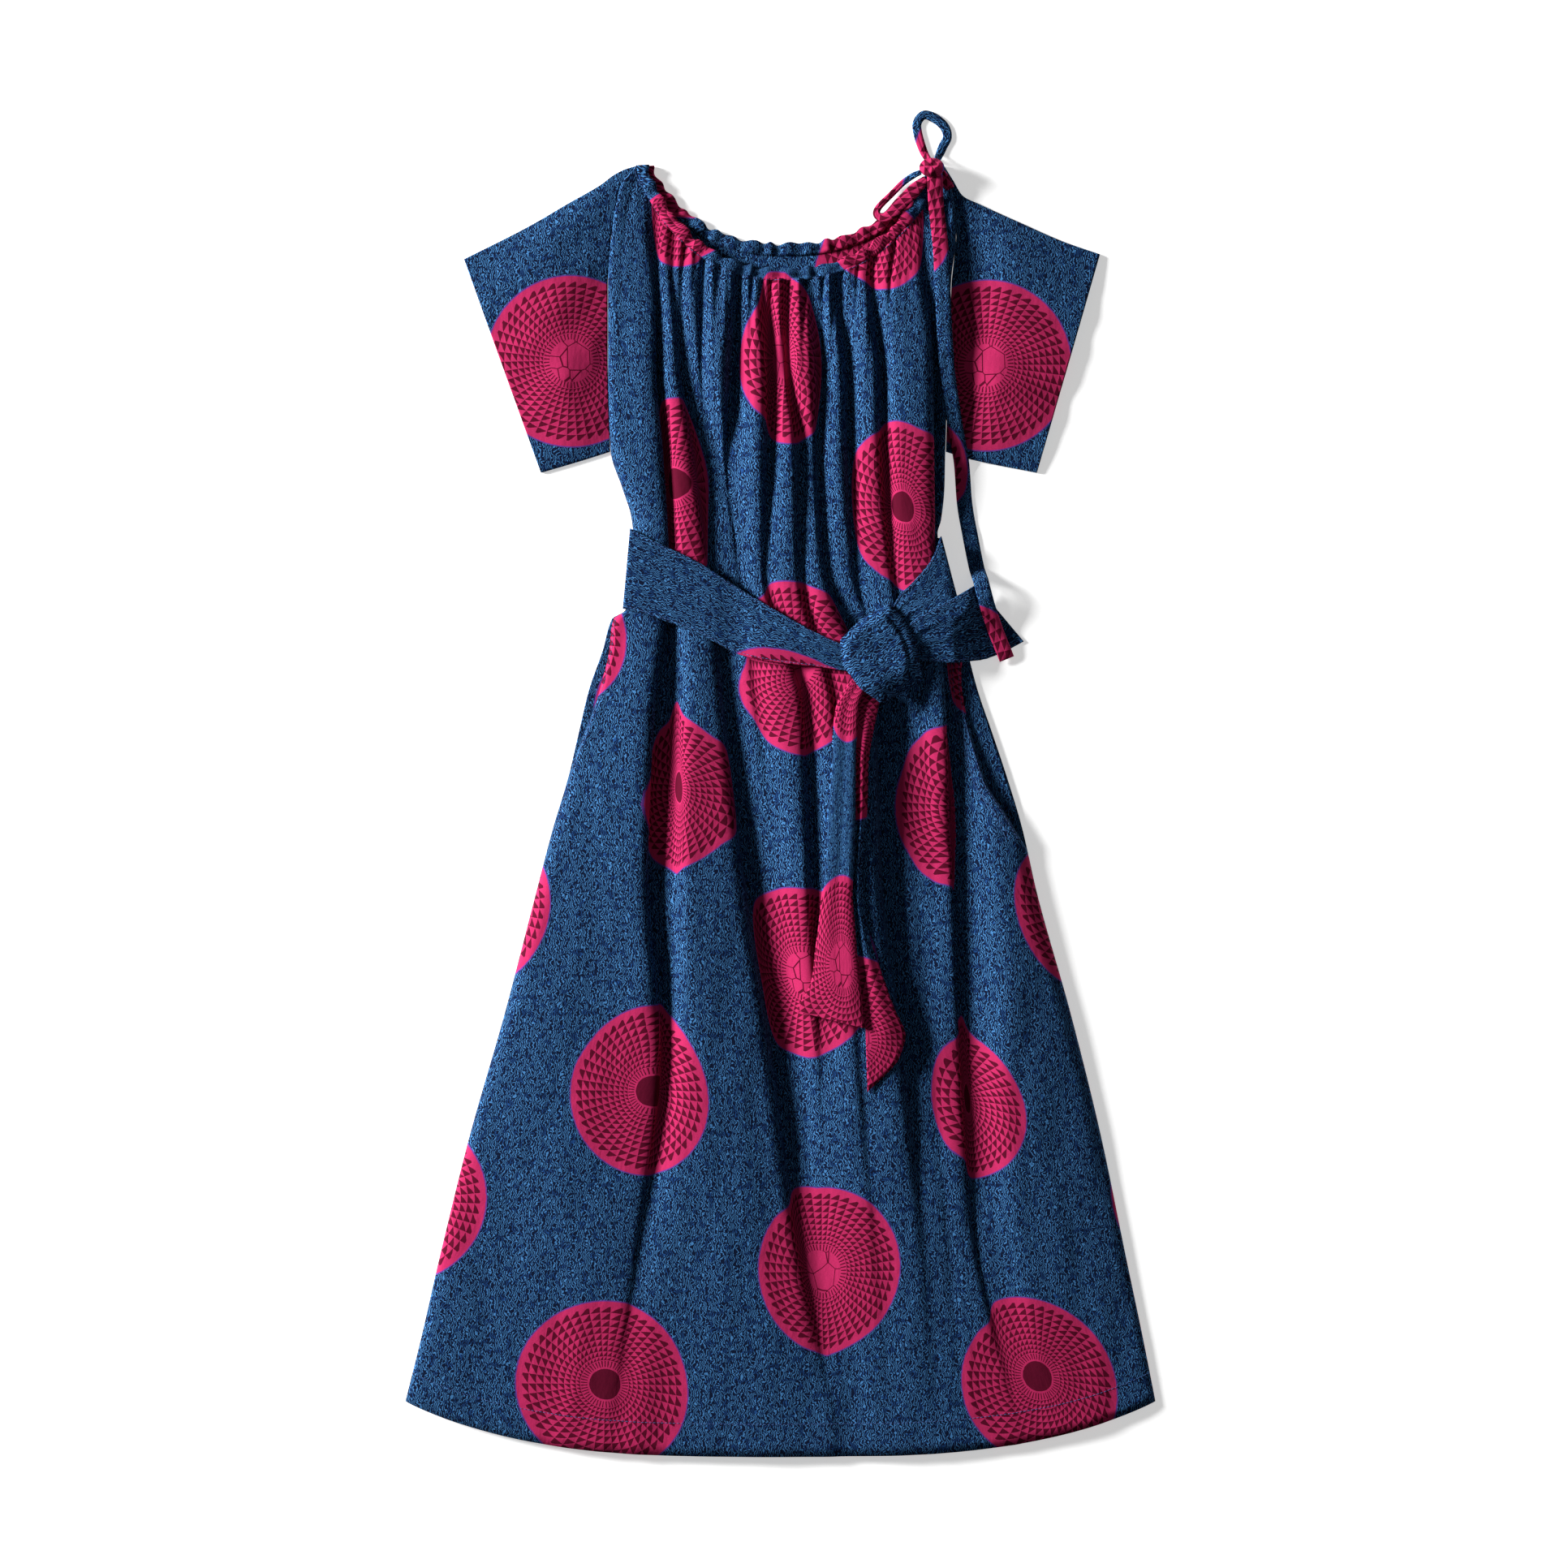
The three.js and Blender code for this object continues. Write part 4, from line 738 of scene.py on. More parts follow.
def outline_radius(outline, centre):
    """Distance from a centre to a closed outline in each direction."""
    closed = np.concatenate([outline, outline[:1]])
    t = np.linspace(0, len(outline), 20 * len(outline), endpoint=False)
    x, y = [np.interp(t, np.arange(len(closed)), closed[:, k]) - centre[k] for k in (0, 1)]
    angle = np.arctan2(y, x)
    order = np.argsort(angle)
    angle, radius = angle[order], np.hypot(x, y)[order]
    return lambda a: np.interp(a, angle, radius, period=2 * np.pi)


def knot_grids(relief):
    """Sash knot: a dome of cloth with folds that run across it, open beneath."""
    x, y, r = round_plan(90, outline_radius(KNOT_OUTLINE, KNOT_CENTRE), KNOT_CENTRE)
    dx, dy = x - KNOT_CENTRE[0], y - KNOT_CENTRE[1]
    over = dx * 0.5 - dy * 0.87
    along = dx * 0.87 + dy * 0.5
    fold = over + 0.008 * along ** 2
    crease = KNOT_CREASE * (np.abs(np.sin(fold / 13 + 0.4)) - 0.6) + 0.4 * np.cos(fold / 4.3 + 1)
    step = 2.4 * ease((dx - 20 + 0.012 * (dy + 6) ** 2) / 3)
    flat = 1 - (1 - np.minimum((1 - r) / 0.24, 1)) ** 2
    ground = relief.rest(x, y, 14)
    level = 0.7 * (ground.mean() - ground)
    z = ground + (KNOT_RISE + level + crease - step) * flat
    inner = np.stack([x, y, z], axis=-1)
    uv = np.stack([over * 0.9 + 307, along * 0.9 + 33], axis=-1)
    return offset(inner, WALL), inner, uv


def tie_grids(points, stations, relief, uv_at):
    """Pressed tube of cloth along a smooth centre line: its section is flat below and rounded
    above, with a crease down its middle."""
    t = np.linspace(0, 1, len(points))
    line = np.stack([catmull(points[:, k], t) for k in (0, 1)], -1)
    share = fractions(line)
    at = np.interp(np.linspace(0, 1, stations), share, np.linspace(0, 1, len(line)))
    dense = np.linspace(0, 1, len(line))
    p = np.stack([np.interp(at, dense, line[:, k]) for k in (0, 1)], -1)
    widths = points[:, 2] if points.shape[1] > 2 else np.full(len(points), TIE_WIDTH)
    half = smooth_curve(t, widths)(at) / 2
    tangent = np.gradient(p, axis=0)
    tangent /= np.linalg.norm(tangent, axis=1, keepdims=True)
    ground = relief.rest(p[:, 0], p[:, 1], float(half.max()) + 3)
    thick = 3 + (TIE_THICK - 3) * np.clip((half - 3) / 3, 0, 1)
    a = np.linspace(-1, 1, 15)
    crown = (1 - np.abs(a) ** 5) * (0.86 + 0.14 * np.abs(np.sin(1.5 * np.pi * a))) * 0.62 + 0.38
    side = np.stack([-tangent[:, 1], tangent[:, 0]], -1)
    length = np.concatenate([[0], np.cumsum(np.linalg.norm(np.diff(p, axis=0), axis=1))])
    wave = 0.3 * np.sin(length / 5.1)[:, None] * np.sin(2.2 * a + length[:, None] / 17)

    def grid(reach, z):
        xy = p[:, None, :] + side[:, None, :] * (reach * a)[None, :, None] * half[:, None, None]
        return np.concatenate([xy, (ground[:, None] + z)[..., None]], axis=-1)
    outer = grid(1.0, crown * thick[:, None] + wave)
    inner = grid(0.9, np.zeros((stations, len(a))))
    uv = uv_at(length[:, None] + 0 * a, a[None, :] * half[:, None])
    return outer, inner, uv, p, ground, length[-1]


def catmull(values, t, steps=24):
    """Catmull-Rom curve through the values, each span a cubic on its four neighbours."""
    v = np.concatenate([[2 * values[0] - values[1]], values, [2 * values[-1] - values[-2]]])
    u = np.linspace(0, 1, steps, endpoint=False)
    parts = []
    for i in range(len(values) - 1):
        a, b, c, d = v[i:i + 4]
        parts.append(0.5 * (2 * b + (c - a) * u + (2 * a - 5 * b + 4 * c - d) * u ** 2
                            + (3 * b - a - 3 * c + d) * u ** 3))
    return np.concatenate(parts + [values[-1:]])


def tie_knot_grids(relief):
    """Drawstring knot: a small rounded bead with turns across it."""
    def radius(a):
        return 1 / np.hypot(np.cos(a) / TIE_KNOT["half_x"], np.sin(a) / TIE_KNOT["half_y"])
    x, y, r = round_plan(40, radius, (TIE_KNOT["x"], TIE_KNOT["y"]))
    ground = relief.rest(x, y, 7)
    turn = 0.86 + 0.14 * np.cos((x - y) / 1.7) + 0.06 * np.cos((x + y) / 1.3)
    z = ground + 1 + TIE_KNOT["rise"] * np.sqrt(np.maximum(1 - r * r, 0)) * turn
    uv = np.stack([x - TIE_KNOT["x"] + 66, y - TIE_KNOT["y"] + FIRST_DISC], axis=-1)
    return np.stack([x, y, z], -1), np.stack([x, y, ground], -1), uv


def tail_cloth(length, across):
    """Print along the drawstring's free end: it crosses a disc where it starts, half way and
    at its end."""
    v = np.interp(length, (0, 80, 240, 283, 400, 440), (-40, 40, 248, 290, 520, 556))
    u = np.interp(length, (0, 90, 230, 300, 390, 440), (60, 64, 70, 72, 66, 64))
    return np.stack([u + across, v + FIRST_DISC], axis=-1)


def straight_cloth(beside, start, pace=1.0):
    """Print along a stretch that runs straight past a disc, by its distance beside the disc's
    centre and the place where it starts."""
    return lambda length, across: np.stack(
        [beside + across, FIRST_DISC + start + length * pace], axis=-1)


SHAPES = {}


def shapes():
    """All surfaces, laid in order so that each piece rests on those under it."""
    if SHAPES:
        return SHAPES
    relief = Relief()
    back = back_grids()
    SHAPES["back_panel"] = back
    relief.lay(back[0])

    def panel_uv(x, y):
        rows = np.repeat(y[:, None], len(x), axis=1)
        return grain(np.repeat(np.sort(x)[None, :], len(y), axis=0), rows)[
            np.arange(len(x)), np.argsort(np.argsort(x))]
    SHAPES["neck_casing_back"] = casing_grids(
        BACK_NECK, BACK_GATHERS, lambda turn: 0 * turn, WALL,
        lambda x, y: np.stack([x + 100, y + 60], -1))
    relief.lay(SHAPES["neck_casing_back"][0][:, 1:7])
    for name, sizes in SLEEVES.items():
        outer, inner, uv, top = sleeve_grids(**sizes)
        SHAPES[name] = (outer, inner, uv)
        relief.lay(outer[:, :top], fill=1)
    SHAPES["neck_casing_front"] = casing_grids(
        FRONT_NECK, FRONT_GATHERS,
        lambda turn: 1.5 + 4.0 * ease((np.abs(2 * turn - 1) - 0.1) / 0.25), 5.0, panel_uv)
    relief.lay(SHAPES["neck_casing_front"][0][:, 1:7])
    SHAPES["pocket_facing_right"] = facing_grids(seam_right, pocket_right, -1, 135, 15)
    SHAPES["pocket_facing_left"] = facing_grids(seam_left, pocket_left, 1, 121, -50)
    SHAPES["front_panel"] = front_grids()
    relief.lay(SHAPES["front_panel"][0])
    runs = (("belt_wrap", 60, 50, True, 1.6, (102, -150)),
            ("belt_band", 150, 60, True, 1.3, (86, FIRST_DISC - 158)),
            ("belt_end_short", 80, 50, False, 1.2, (102, -160)))
    for name, along, across, turned, pleats, origin in runs:
        SHAPES[name] = sash_grids(name, relief, along, across, turned, pleats, origin)
        relief.lay(SHAPES[name][0], fill=2)
    x, y, _, _ = section_plan(SASH["belt_back"], 80, 20)
    outer = np.stack([x, y, WALL + 0 * x], -1)
    SHAPES["belt_back"] = (outer, outer - np.array([0, 0, WALL]), np.stack([x + 100, y + 200], -1))
    SHAPES["belt_tail_long"] = tail_grids(relief)
    relief.lay(SHAPES["belt_tail_long"][0])
    relief.lay(SHAPES["belt_tail_long"][1][:, 24:])
    SHAPES["belt_knot"] = knot_grids(relief)
    relief.lay(SHAPES["belt_knot"][0], fill=1)
    ties = (("tie_loop_lower", TIE_LOWER, 120, straight_cloth(55, -68, 0.9)),
            ("tie_tail_short", TIE_SHORT, 30, straight_cloth(48, -30)),
            ("tie_loop_upper", TIE_UPPER, 130, straight_cloth(62, 18)),
            ("tie_tail_long", TIE_TAIL, 300, tail_cloth))
    for name, points, stations, cloth in ties:
        outer, inner, uv, line, ground, length = tie_grids(points, stations, relief, cloth)
        SHAPES[name] = (outer, inner, uv)
        if name == "tie_tail_long":
            SHAPES["tail_line"] = (line, ground, length)
        relief.lay(outer, fill=1)
    SHAPES["tie_knot"] = tie_knot_grids(relief)
    return SHAPES


def wall_mesh(name, outer, inner, uv, strokes=None, ring=False):
    """Closed wall between two grids: both faces and the rims that join their edges. It carries
    the place of the discs and, where the cloth is gathered, of the strokes between them."""
    rows, cols = outer.shape[:2]
    count = rows * cols
    points = np.concatenate([outer.reshape(-1, 3), inner.reshape(-1, 3)]) * MM
    index = np.arange(count).reshape(rows, cols)
    nxt = np.roll(index, -1, axis=1) if ring else index[:, 1:]
    now = index if ring else index[:, :-1]
    a, b = now[:-1], nxt[:-1]
    d, c = now[1:], nxt[1:]
    faces = [np.stack([a, d, c, b], -1).reshape(-1, 4),
             np.stack([a, b, c, d], -1).reshape(-1, 4) + count]
    first, last = now[0], nxt[0]
    faces.append(np.stack([first, last, last + count, first + count], -1))
    first, last = now[-1], nxt[-1]
    faces.append(np.stack([first, first + count, last + count, last], -1))
    if not ring:
        up, low = index[:-1, 0], index[1:, 0]
        faces.append(np.stack([up, up + count, low + count, low], -1))
        up, low = index[:-1, -1], index[1:, -1]
        faces.append(np.stack([up, low, low + count, up + count], -1))
    faces = np.concatenate(faces)
    quad = points[faces]
    volume = np.sum(np.einsum("ij,ij->i", quad[:, 0], np.cross(quad[:, 1], quad[:, 2]))
                    + np.einsum("ij,ij->i", quad[:, 0], np.cross(quad[:, 2], quad[:, 3])))
    if volume < 0:
        faces = faces[:, ::-1]
    mesh = bpy.data.meshes.new(name)
    mesh.vertices.add(len(points))
    mesh.vertices.foreach_set("co", points.ravel())
    mesh.loops.add(faces.size)
    mesh.loops.foreach_set("vertex_index", faces.ravel().astype(np.int32))
    mesh.polygons.add(len(faces))
    mesh.polygons.foreach_set("loop_start", np.arange(0, faces.size, 4, dtype=np.int32))
    mesh.polygons.foreach_set("use_smooth", np.ones(len(faces), dtype=bool))
    for key, place in (("cloth", uv), ("strokes", uv if strokes is None else strokes)):
        layer = mesh.uv_layers.new(name=key)
        flat = np.concatenate([place.reshape(-1, 2), place.reshape(-1, 2)]) * MM
        layer.data.foreach_set("uv", flat[faces.ravel()].ravel())
    mesh.update(calc_edges=True)
    return mesh


def add_object(name, mesh, material, node=None):
    """Link a mesh as a piece that rides on the one body and may stand for a node."""
    piece = bpy.data.objects.new(name, mesh)
    bpy.context.scene.collection.objects.link(piece)
    mesh.materials.append(material)
    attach(piece, "root")
    if node:
        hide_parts(node)
    return piece


class Term:
    """A number in a material, so that its formula can be written as arithmetic."""

    def __init__(self, tree, socket):
        self.tree = tree
        self.socket = socket

    def math(self, operation, *others, clamp=False):
        node = self.tree.nodes.new("ShaderNodeMath")
        node.operation = operation
        node.use_clamp = clamp
        self.tree.links.new(self.socket, node.inputs[0])
        for k, other in enumerate(others, 1):
            if isinstance(other, Term):
                self.tree.links.new(other.socket, node.inputs[k])
            else:
                node.inputs[k].default_value = other
        return Term(self.tree, node.outputs[0])

    def __add__(self, other):
        return self.math("ADD", other)

    def __sub__(self, other):
        return self.math("SUBTRACT", other)

    def __mul__(self, other):
        return self.math("MULTIPLY", other)

    def __truediv__(self, other):
        return self.math("DIVIDE", other)

    def above(self, other):
        return self.math("GREATER_THAN", other)

    def below(self, other):
        return self.math("LESS_THAN", other)

    def wrap(self, period):
        return self.math("WRAP", period / 2, -period / 2)

    def choose(self, low, high):
        """low where this is zero and high where it is one."""
        return low + (high - low) * self


def noise(tree, vector, scale, detail=2.0, stretch=(1, 1, 1)):
    """Soft noise on the cloth coordinates, stretched along an axis."""
    mapping = tree.nodes.new("ShaderNodeMapping")
    mapping.inputs["Scale"].default_value = stretch
    tree.links.new(vector, mapping.inputs["Vector"])
    node = tree.nodes.new("ShaderNodeTexNoise")
    node.inputs["Scale"].default_value = scale
    node.inputs["Detail"].default_value = detail
    tree.links.new(mapping.outputs[0], node.inputs["Vector"])
    return Term(tree, node.outputs["Fac"])


def mix_colour(tree, factor, low, high):
    """Colour between two, each a colour or an earlier mix."""
    node = tree.nodes.new("ShaderNodeMix")
    node.data_type = "RGBA"
    tree.links.new(factor.socket, node.inputs["Factor"])
    for key, value in (("A", low), ("B", high)):
        socket = [s for s in node.inputs if s.name == key and s.type == "RGBA"][0]
        if isinstance(value, bpy.types.NodeSocket):
            tree.links.new(value, socket)
        else:
            socket.default_value = (*value, 1)
    return [s for s in node.outputs if s.type == "RGBA"][0]


def cloth_material(context):
    """Wax-printed cotton: discs of triangle rings on a ground of short wavy strokes, a plain
    weave and soft crumples."""
    known = bpy.data.materials.get("printed_cotton")
    if known:
        return known
    sizes, colours = context.scene.dress_sizes, context.scene.dress_colours
    material = bpy.data.materials.new("printed_cotton")
    material.use_nodes = True
    tree = material.node_tree
    shader = tree.nodes["Principled BSDF"]
    uv = tree.nodes.new("ShaderNodeUVMap")
    uv.uv_map = "cloth"
    place = uv.outputs[0]
    split = tree.nodes.new("ShaderNodeSeparateXYZ")
    tree.links.new(place, split.inputs[0])
    wander = noise(tree, place, 260, 1.0)
    u = Term(tree, split.outputs[0]) + (wander - 0.5) * 0.0012
    v = Term(tree, split.outputs[1])
    first = FIRST_DISC * MM
    pair, column, row = 2 * sizes.column_spacing, sizes.column_spacing, sizes.row_spacing
    ax, ay = u.wrap(pair), (v - first).wrap(row)
    bx, by = (u - column).wrap(pair), (v - first - row / 2).wrap(row)
    a_far, b_far = (ax * ax + ay * ay).math("SQRT"), (bx * bx + by * by).math("SQRT")
    dark = b_far.below(a_far)
    share = a_far.math("MINIMUM", b_far) / sizes.disc_radius
    angle = dark.choose(ay, by).math("ARCTAN2", dark.choose(ax, bx))
    sector = (angle * (sizes.sectors / (2 * math.pi))).math("FRACT")
    pale_core, dark_core = 0.25, 0.2
    core = dark * (dark_core - pale_core) + pale_core
    out = (share - core) / (core * -1 + 0.935)
    ring = ((out - 0.11) / 0.89).math("MAXIMUM", 0.0001).math("POWER", 0.82) * sizes.rings
    level = ring.math("FRACT")
    triangle = (sector + level).below(1.08) * sector.above(0.05) * level.above(0.05)
    triangle = triangle * out.above(0.11) * out.below(0.98)
    tick = sector.above(0.28) * sector.below(0.66) * out.above(0.0) * out.below(0.1)
    crackle_map = tree.nodes.new("ShaderNodeTexVoronoi")
    crackle_map.feature = "DISTANCE_TO_EDGE"
    crackle_map.inputs["Scale"].default_value = 58
    tree.links.new(place, crackle_map.inputs["Vector"])
    crackle = Term(tree, crackle_map.outputs["Distance"]).below(0.022) * out.below(0.0)
    centre = dark * out.below(-0.03)
    plum = (triangle + tick + crackle * (dark * -1 + 1) + centre).math("MINIMUM", 1.0)
    inside = share.below(0.985)
    line = share.above(0.985) * share.below(1.0)

    other = tree.nodes.new("ShaderNodeUVMap")
    other.uv_map = "strokes"
    along = other.outputs[0]
    split_along = tree.nodes.new("ShaderNodeSeparateXYZ")
    tree.links.new(along, split_along.inputs[0])
    wave = noise(tree, along, 190, 0.0, (0.75, 0.85, 1.0))
    ripple = noise(tree, along, 510, 0.0, (0.75, 0.9, 1.0))
    stroke_spacing = 0.002
    phase = (Term(tree, split_along.outputs[0]) / stroke_spacing + wave * 3.2 + ripple * 1.5)
    crest = (phase * (2 * math.pi)).math("SINE")
    breaks = noise(tree, along, 560, 0.0, (1.0, 0.7, 1.0))
    patch = noise(tree, along, 150, 1.5)
    faint = crest.above(0.1) * breaks.above(0.3)
    stroke = crest.above(0.45) * breaks.above(0.38)
    bright = stroke * patch.above(0.41)
    ground = mix_colour(tree, faint, tuple(colours.navy), tuple(colours.mid_blue))
    ground = mix_colour(tree, stroke, ground, tuple(1.9 * c for c in colours.mid_blue))
    ground = mix_colour(tree, bright, ground, tuple(colours.bright_blue))
    disc = mix_colour(tree, plum, tuple(colours.pink), tuple(colours.plum))
    cloth = mix_colour(tree, inside, ground, disc)
    cloth = mix_colour(tree, line, cloth, tuple(colours.violet))
    worn = noise(tree, place, 900, 2.0)
    shade = tree.nodes.new("ShaderNodeHueSaturation")
    tree.links.new(cloth, shade.inputs["Color"])
    tree.links.new((worn * 0.5 + 0.75).socket, shade.inputs["Value"])
    tree.links.new(shade.outputs[0], shader.inputs["Base Color"])

    thread_pitch = 0.0007
    weave_u, weave_v = [(Term(tree, split.outputs[k]) * 2 * math.pi / thread_pitch).math("SINE")
                        for k in (0, 1)]
    crumple = noise(tree, place, 70, 3.0, (1.0, 0.45, 1.0))
    pucker = noise(tree, place, 260, 2.0, (1.0, 0.6, 1.0))
    height = weave_u * weave_v * 0.00002 + crumple * 0.0011 + pucker * 0.00022
    bump = tree.nodes.new("ShaderNodeBump")
    bump.inputs["Strength"].default_value = 0.9
    bump.inputs["Distance"].default_value = 1.0
    tree.links.new(height.socket, bump.inputs["Height"])
    tree.links.new(bump.outputs[0], shader.inputs["Normal"])
    tree.links.new((worn * 0.12 + 0.82).socket, shader.inputs["Roughness"])
    shader.inputs["Specular IOR Level"].default_value = 0.05
    shader.inputs["Sheen Weight"].default_value = 0.02
    shader.inputs["Sheen Roughness"].default_value = 0.4
    return material


def thread_material(context):
    """Twisted sewing thread."""
    known = bpy.data.materials.get("thread")
    if known:
        return known
    material = bpy.data.materials.new("thread")
    material.use_nodes = True
    tree = material.node_tree
    shader = tree.nodes["Principled BSDF"]
    place = tree.nodes.new("ShaderNodeTexCoord").outputs["Object"]
    twist = noise(tree, place, 1800, 1.0)
    thread = tuple(context.scene.dress_colours.thread)
    shade = mix_colour(tree, twist, thread, tuple(3 * c for c in thread))
    tree.links.new(shade, shader.inputs["Base Color"])
    shader.inputs["Roughness"].default_value = 0.6
    return material


def cloth_piece(context, name, ring=False):
    """One cloth piece from its surfaces, standing for the node of the same name."""
    mesh = wall_mesh(name + "_cloth", *shapes()[name], ring=ring)
    return add_object(name + "_cloth", mesh, cloth_material(context), name)


def stitch_mesh(name, lines, length):
    """Machine stitches: small six-sided beads laid along lines, a gap between two."""
    t = np.linspace(0, 1, 4)
    a = np.linspace(0, 2 * np.pi, 6, endpoint=False)
    swell = np.array([0.35, 1, 1, 0.35])
    points, faces = [], []
    start = 0
    for line in lines:
        steps = np.linalg.norm(np.diff(line, axis=0), axis=1)
        run = np.concatenate([[0], np.cumsum(steps)])
        count = int(run[-1] / (length * 1.25))
        begin = (np.arange(count) + 0.1) * run[-1] / count
        at = begin[:, None] + t[None, :] * length
        centre = np.stack([np.interp(at, run, line[:, k]) for k in range(3)], -1)
        ahead = centre[:, -1] - centre[:, 0]
        ahead /= np.linalg.norm(ahead, axis=1, keepdims=True)
        side = np.stack([-ahead[:, 1], ahead[:, 0], 0 * ahead[:, 0]], -1)
        side /= np.maximum(np.linalg.norm(side, axis=1, keepdims=True), 1e-9)
        up = np.cross(ahead, side)
        ring = (side[:, None, None, :] * np.cos(a)[None, None, :, None]
                + up[:, None, None, :] * np.sin(a)[None, None, :, None])
        ring = ring * (0.28 * swell)[None, :, None, None]
        body = centre[:, :, None, :] + ring
        points.append(body.reshape(-1, 3))
        grid = np.arange(24).reshape(4, 6)
        right = np.roll(grid, -1, axis=1)
        quads = np.stack([grid[:-1], right[:-1], right[1:], grid[1:]], -1).reshape(-1, 4)
        caps = np.array([[0, 5, 4, 3], [0, 3, 2, 1], [18, 19, 20, 21], [18, 21, 22, 23]])
        one = np.concatenate([quads, caps])
        faces.append((one[None] + (start + np.arange(count) * 24)[:, None, None]).reshape(-1, 4))
        start += count * 24
    mesh = bpy.data.meshes.new(name)
    mesh.from_pydata((np.concatenate(points) * MM).tolist(), [], np.concatenate(faces).tolist())
    mesh.polygons.foreach_set("use_smooth", np.ones(len(mesh.polygons), dtype=bool))
    mesh.update()
    return mesh


def grid_line(grid, rows=None, column=None, row=None, lift=0.12):
    """Line of points along one row or column of a grid, a little above it."""
    line = grid[row] if row is not None else grid[rows, column]
    return line + np.array([0, 0, lift])


class DRESS_OT_stage(bpy.types.Operator):
    """Camera straight above, pale floor and soft light from the upper left"""
    bl_idname = "dress.stage"
    bl_label = "Stage"

    def execute(self, context):
        scene = context.scene
        sizes, colours = scene.dress_sizes, scene.dress_colours
        lens, sensor = 85.0, 36.0
        camera = bpy.data.objects.new("camera", bpy.data.cameras.new("camera"))
        camera.data.lens, camera.data.sensor_width = lens, sensor
        camera.location = (0.0032, -0.0007, sizes.view_width * lens / sensor + 0.008)
        scene.collection.objects.link(camera)
        scene.camera = camera
        mesh = bpy.data.meshes.new("floor")
        half, low = 30.0, -0.0004
        corners = [(-half, -half, low), (half, -half, low), (half, half, low), (-half, half, low)]
        mesh.from_pydata(corners, [], [(0, 1, 2, 3)])
        floor = bpy.data.objects.new("floor", mesh)
        scene.collection.objects.link(floor)
        paper = bpy.data.materials.new("pale_floor")
        paper.use_nodes = True
        tree = paper.node_tree
        shader = tree.nodes["Principled BSDF"]
        grain_map = noise(tree, tree.nodes.new("ShaderNodeTexCoord").outputs["Object"], 400, 2.0)
        paler = tuple(min(c * 1.02, 1) for c in colours.floor)
        tone = mix_colour(tree, grain_map, tuple(colours.floor), paler)
        tree.links.new(tone, shader.inputs["Base Color"])
        shader.inputs["Roughness"].default_value = 0.9
        shader.inputs["Specular IOR Level"].default_value = 0.1
        shader.inputs["Emission Color"].default_value = (1, 1, 1, 1)
        shader.inputs["Emission Strength"].default_value = 0.48
        mesh.materials.append(paper)
        lights = (("key", (-4.4, 1.55, 1.75), 1.3, 780.0), ("fill", (1.4, 0.2, 3.2), 2.4, 4.0))
        for name, place, size, power in lights:
            lamp = bpy.data.lights.new(name, "AREA")
            lamp.size, lamp.energy = size, power
            light = bpy.data.objects.new(name, lamp)
            light.location = place
            aim = -np.array(place)
            light.rotation_euler = (math.atan2(math.hypot(aim[0], aim[1]), -aim[2]), 0,
                                    math.atan2(aim[1], aim[0]) - math.pi / 2)
            scene.collection.objects.link(light)
        world = bpy.data.worlds.new("studio")
        world.use_nodes = True
        background = world.node_tree.nodes["Background"]
        background.inputs[0].default_value = (1, 1, 1, 1)
        background.inputs[1].default_value = 0.085
        scene.world = world
        scene.view_settings.view_transform = "Standard"
        return {"FINISHED"}


class DRESS_OT_drawstring(bpy.types.Operator):
    """Drawstring: free end, loops, knot and short end"""
    bl_idname = "dress.drawstring"
    bl_label = "Drawstring"

    def execute(self, context):
        line, ground, length = shapes()["tail_line"]
        tail = cloth_piece(context, "tie_tail_long")
        path = np.concatenate([line, ground[:, None] + TIE_THICK / 2], axis=1)[::8] * MM
        end = np.append(line[-1], ground[-1] + TIE_THICK / 2)[None] * MM
        path = np.concatenate([path, end])
        for name in ("tie_loop_lower", "tie_tail_short", "tie_loop_upper", "tie_knot"):
            cloth_piece(context, name)
        return {"FINISHED"}


class DRESS_OT_panels(bpy.types.Operator):
    """Front, back and the pocket facings"""
    bl_idname = "dress.panels"
    bl_label = "Panels"

    def execute(self, context):
        front = cloth_piece(context, "front_panel")
        back = cloth_piece(context, "back_panel")
        for name, flat in (("pocket_facing_right", (0.016, 0.12)),
                           ("pocket_facing_left", (0.026, 0.171))):
            cloth_piece(context, name)
        return {"FINISHED"}


class DRESS_OT_sleeves(bpy.types.Operator):
    """Both sleeves, each a flattened tube"""
    bl_idname = "dress.sleeves"
    bl_label = "Sleeves"

    def execute(self, context):
        for name in SLEEVES:
            sleeve = cloth_piece(context, name, ring=True)
        return {"FINISHED"}


class DRESS_OT_neck(bpy.types.Operator):
    """Gathered casings of the neck"""
    bl_idname = "dress.neck"
    bl_label = "Neck casings"

    def execute(self, context):
        for name, flat in (("neck_casing_front", (0.36, 0.026)),
                           ("neck_casing_back", (0.33, 0.025))):
            cloth_piece(context, name)
        return {"FINISHED"}


class DRESS_OT_sash(bpy.types.Operator):
    """Sash: its runs round the waist, its knot and its two ends"""
    bl_idname = "dress.sash"
    bl_label = "Sash"

    def execute(self, context):
        cuts = {"belt_back": (0.30, 0.066), "belt_wrap": (0.075, 0.06), "belt_band": (0.22, 0.062),
                "belt_end_short": (0.11, 0.058), "belt_tail_long": (0.31, 0.08),
                "belt_knot": (0.095, 0.066)}
        for name, flat in cuts.items():
            run = cloth_piece(context, name)
        return {"FINISHED"}


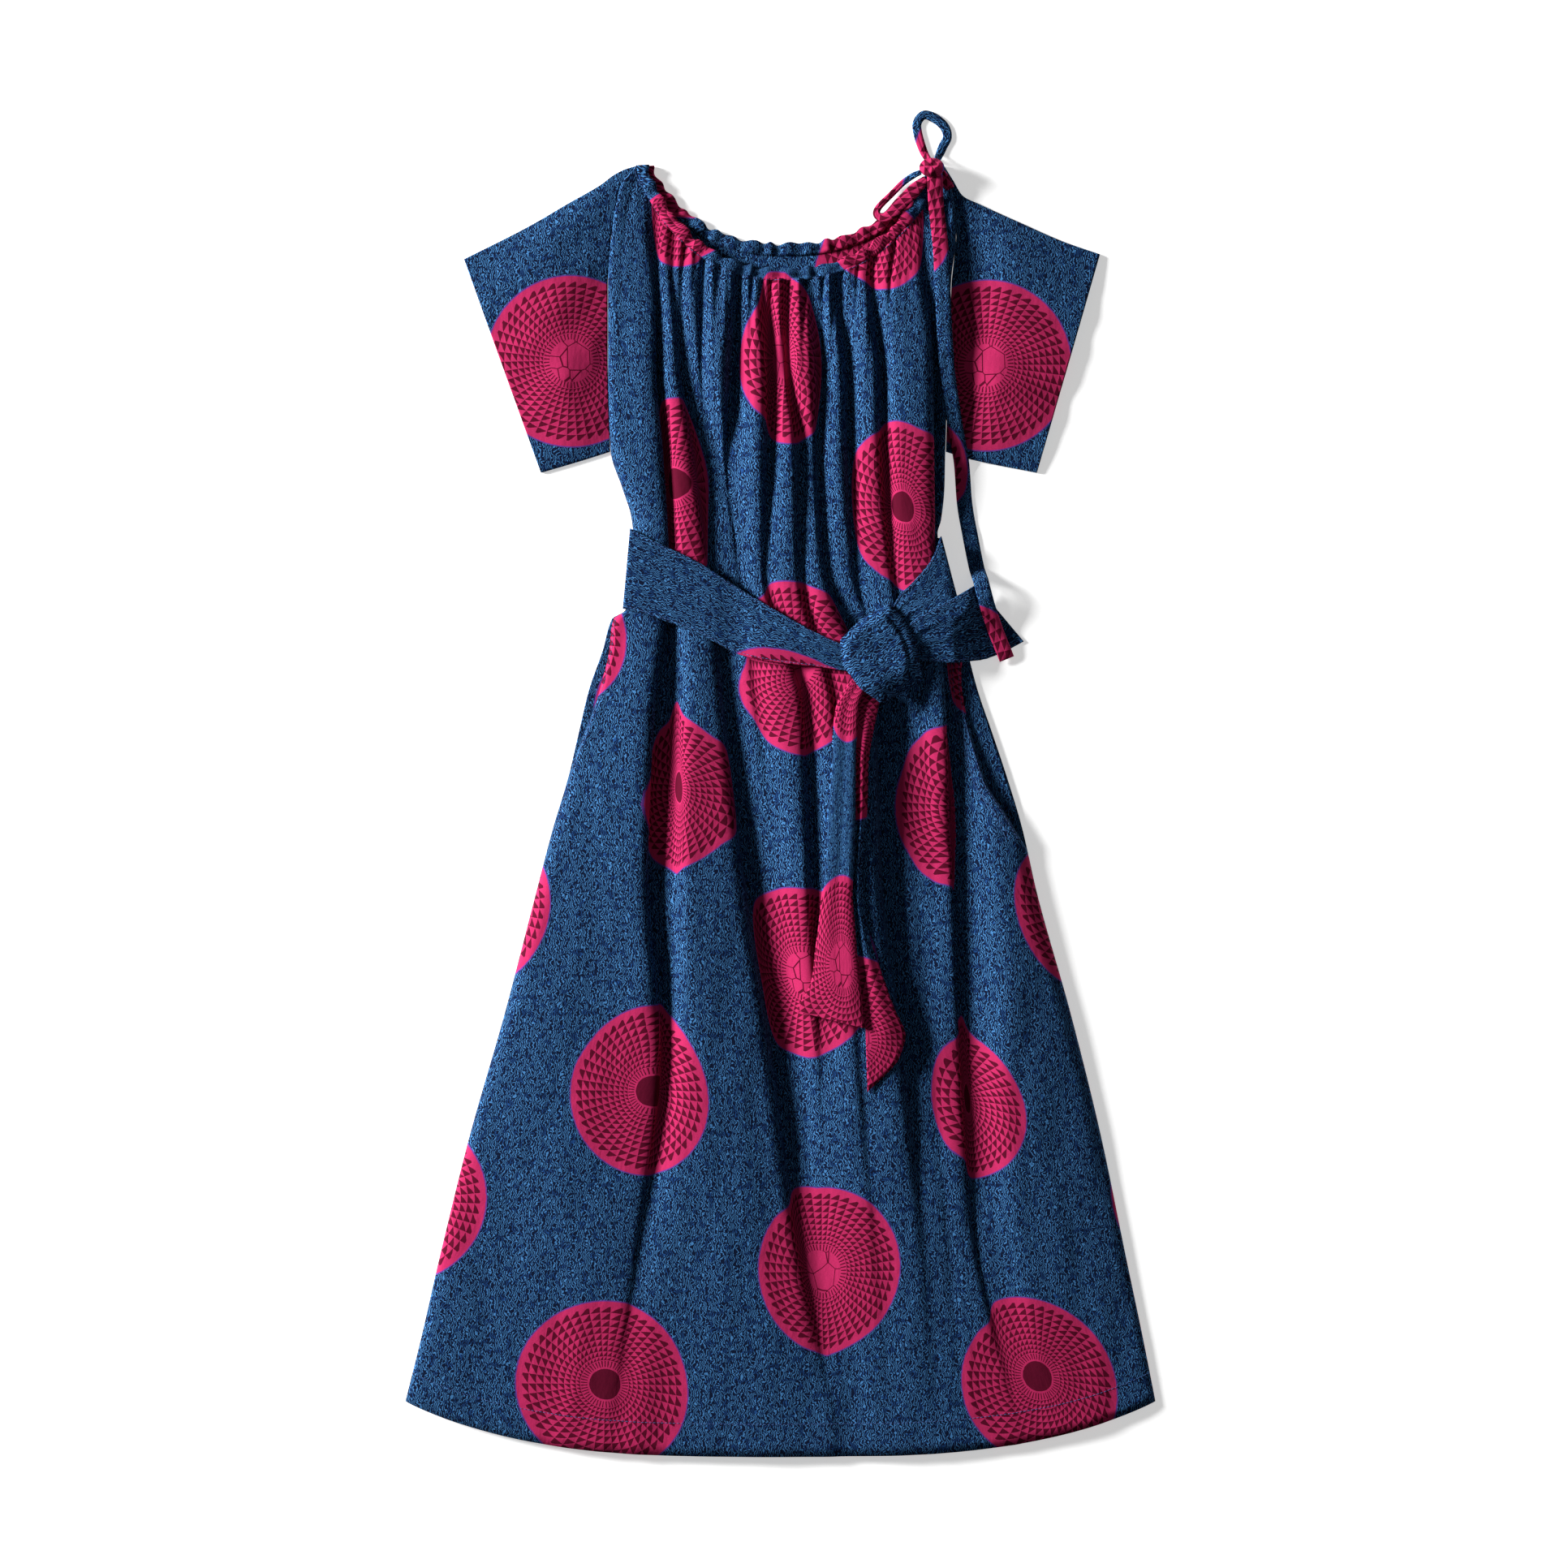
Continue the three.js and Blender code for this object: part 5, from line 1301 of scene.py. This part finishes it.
class DRESS_OT_stitching(bpy.types.Operator):
    """Machine stitches at the hem, the neck, the pockets and the sash's edges"""
    bl_idname = "dress.stitching"
    bl_label = "Stitching"

    def execute(self, context):
        grids = shapes()
        front = grids["front_panel"][0]
        count = front.shape[0]
        pockets = range(int(count * 0.53), int(count * 0.72))
        lines = [grid_line(front, row=-4), grid_line(front, row=1, lift=0.2)]
        lines += [grid_line(front, rows=pockets, column=c) for c in (2, -3, -7, -9)]
        for name in ("belt_band", "belt_end_short", "belt_wrap"):
            outer = grids[name][0]
            lines += [grid_line(outer[2:], rows=slice(None), column=c) for c in (2, -3)]
        length = context.scene.dress_sizes.stitch_length / MM
        mesh = stitch_mesh("stitches", lines, length)
        add_object("stitches", mesh, thread_material(context))
        return {"FINISHED"}


class DRESS_PT_panel(bpy.types.Panel):
    """Buttons for the pieces and fields for their sizes and colours"""
    bl_idname = "DRESS_PT_panel"
    bl_label = "Dress"
    bl_space_type = "VIEW_3D"
    bl_region_type = "UI"
    bl_category = "Dress"

    def draw(self, context):
        for operator in OPERATORS:
            self.layout.operator(operator.bl_idname)
        for group in (context.scene.dress_sizes, context.scene.dress_colours):
            for key in group.__annotations__:
                self.layout.prop(group, key)


OPERATORS = (DRESS_OT_stage, DRESS_OT_drawstring, DRESS_OT_panels, DRESS_OT_sleeves,
             DRESS_OT_neck, DRESS_OT_sash, DRESS_OT_stitching)
CLASSES = (DressSizes, DressColours) + OPERATORS + (DRESS_PT_panel,)


def register():
    for cls in CLASSES:
        bpy.utils.register_class(cls)
    bpy.types.Scene.dress_sizes = bpy.props.PointerProperty(type=DressSizes)
    bpy.types.Scene.dress_colours = bpy.props.PointerProperty(type=DressColours)


def unregister():
    del bpy.types.Scene.dress_colours
    del bpy.types.Scene.dress_sizes
    for cls in reversed(CLASSES):
        bpy.utils.unregister_class(cls)


def main():
    """Make every piece in order."""
    register()
    bpy.ops.dress.stage()
    bpy.ops.dress.drawstring()
    bpy.ops.dress.panels()
    bpy.ops.dress.sleeves()
    bpy.ops.dress.neck()
    bpy.ops.dress.sash()
    bpy.ops.dress.stitching()


if __name__ == "__main__":
    main()
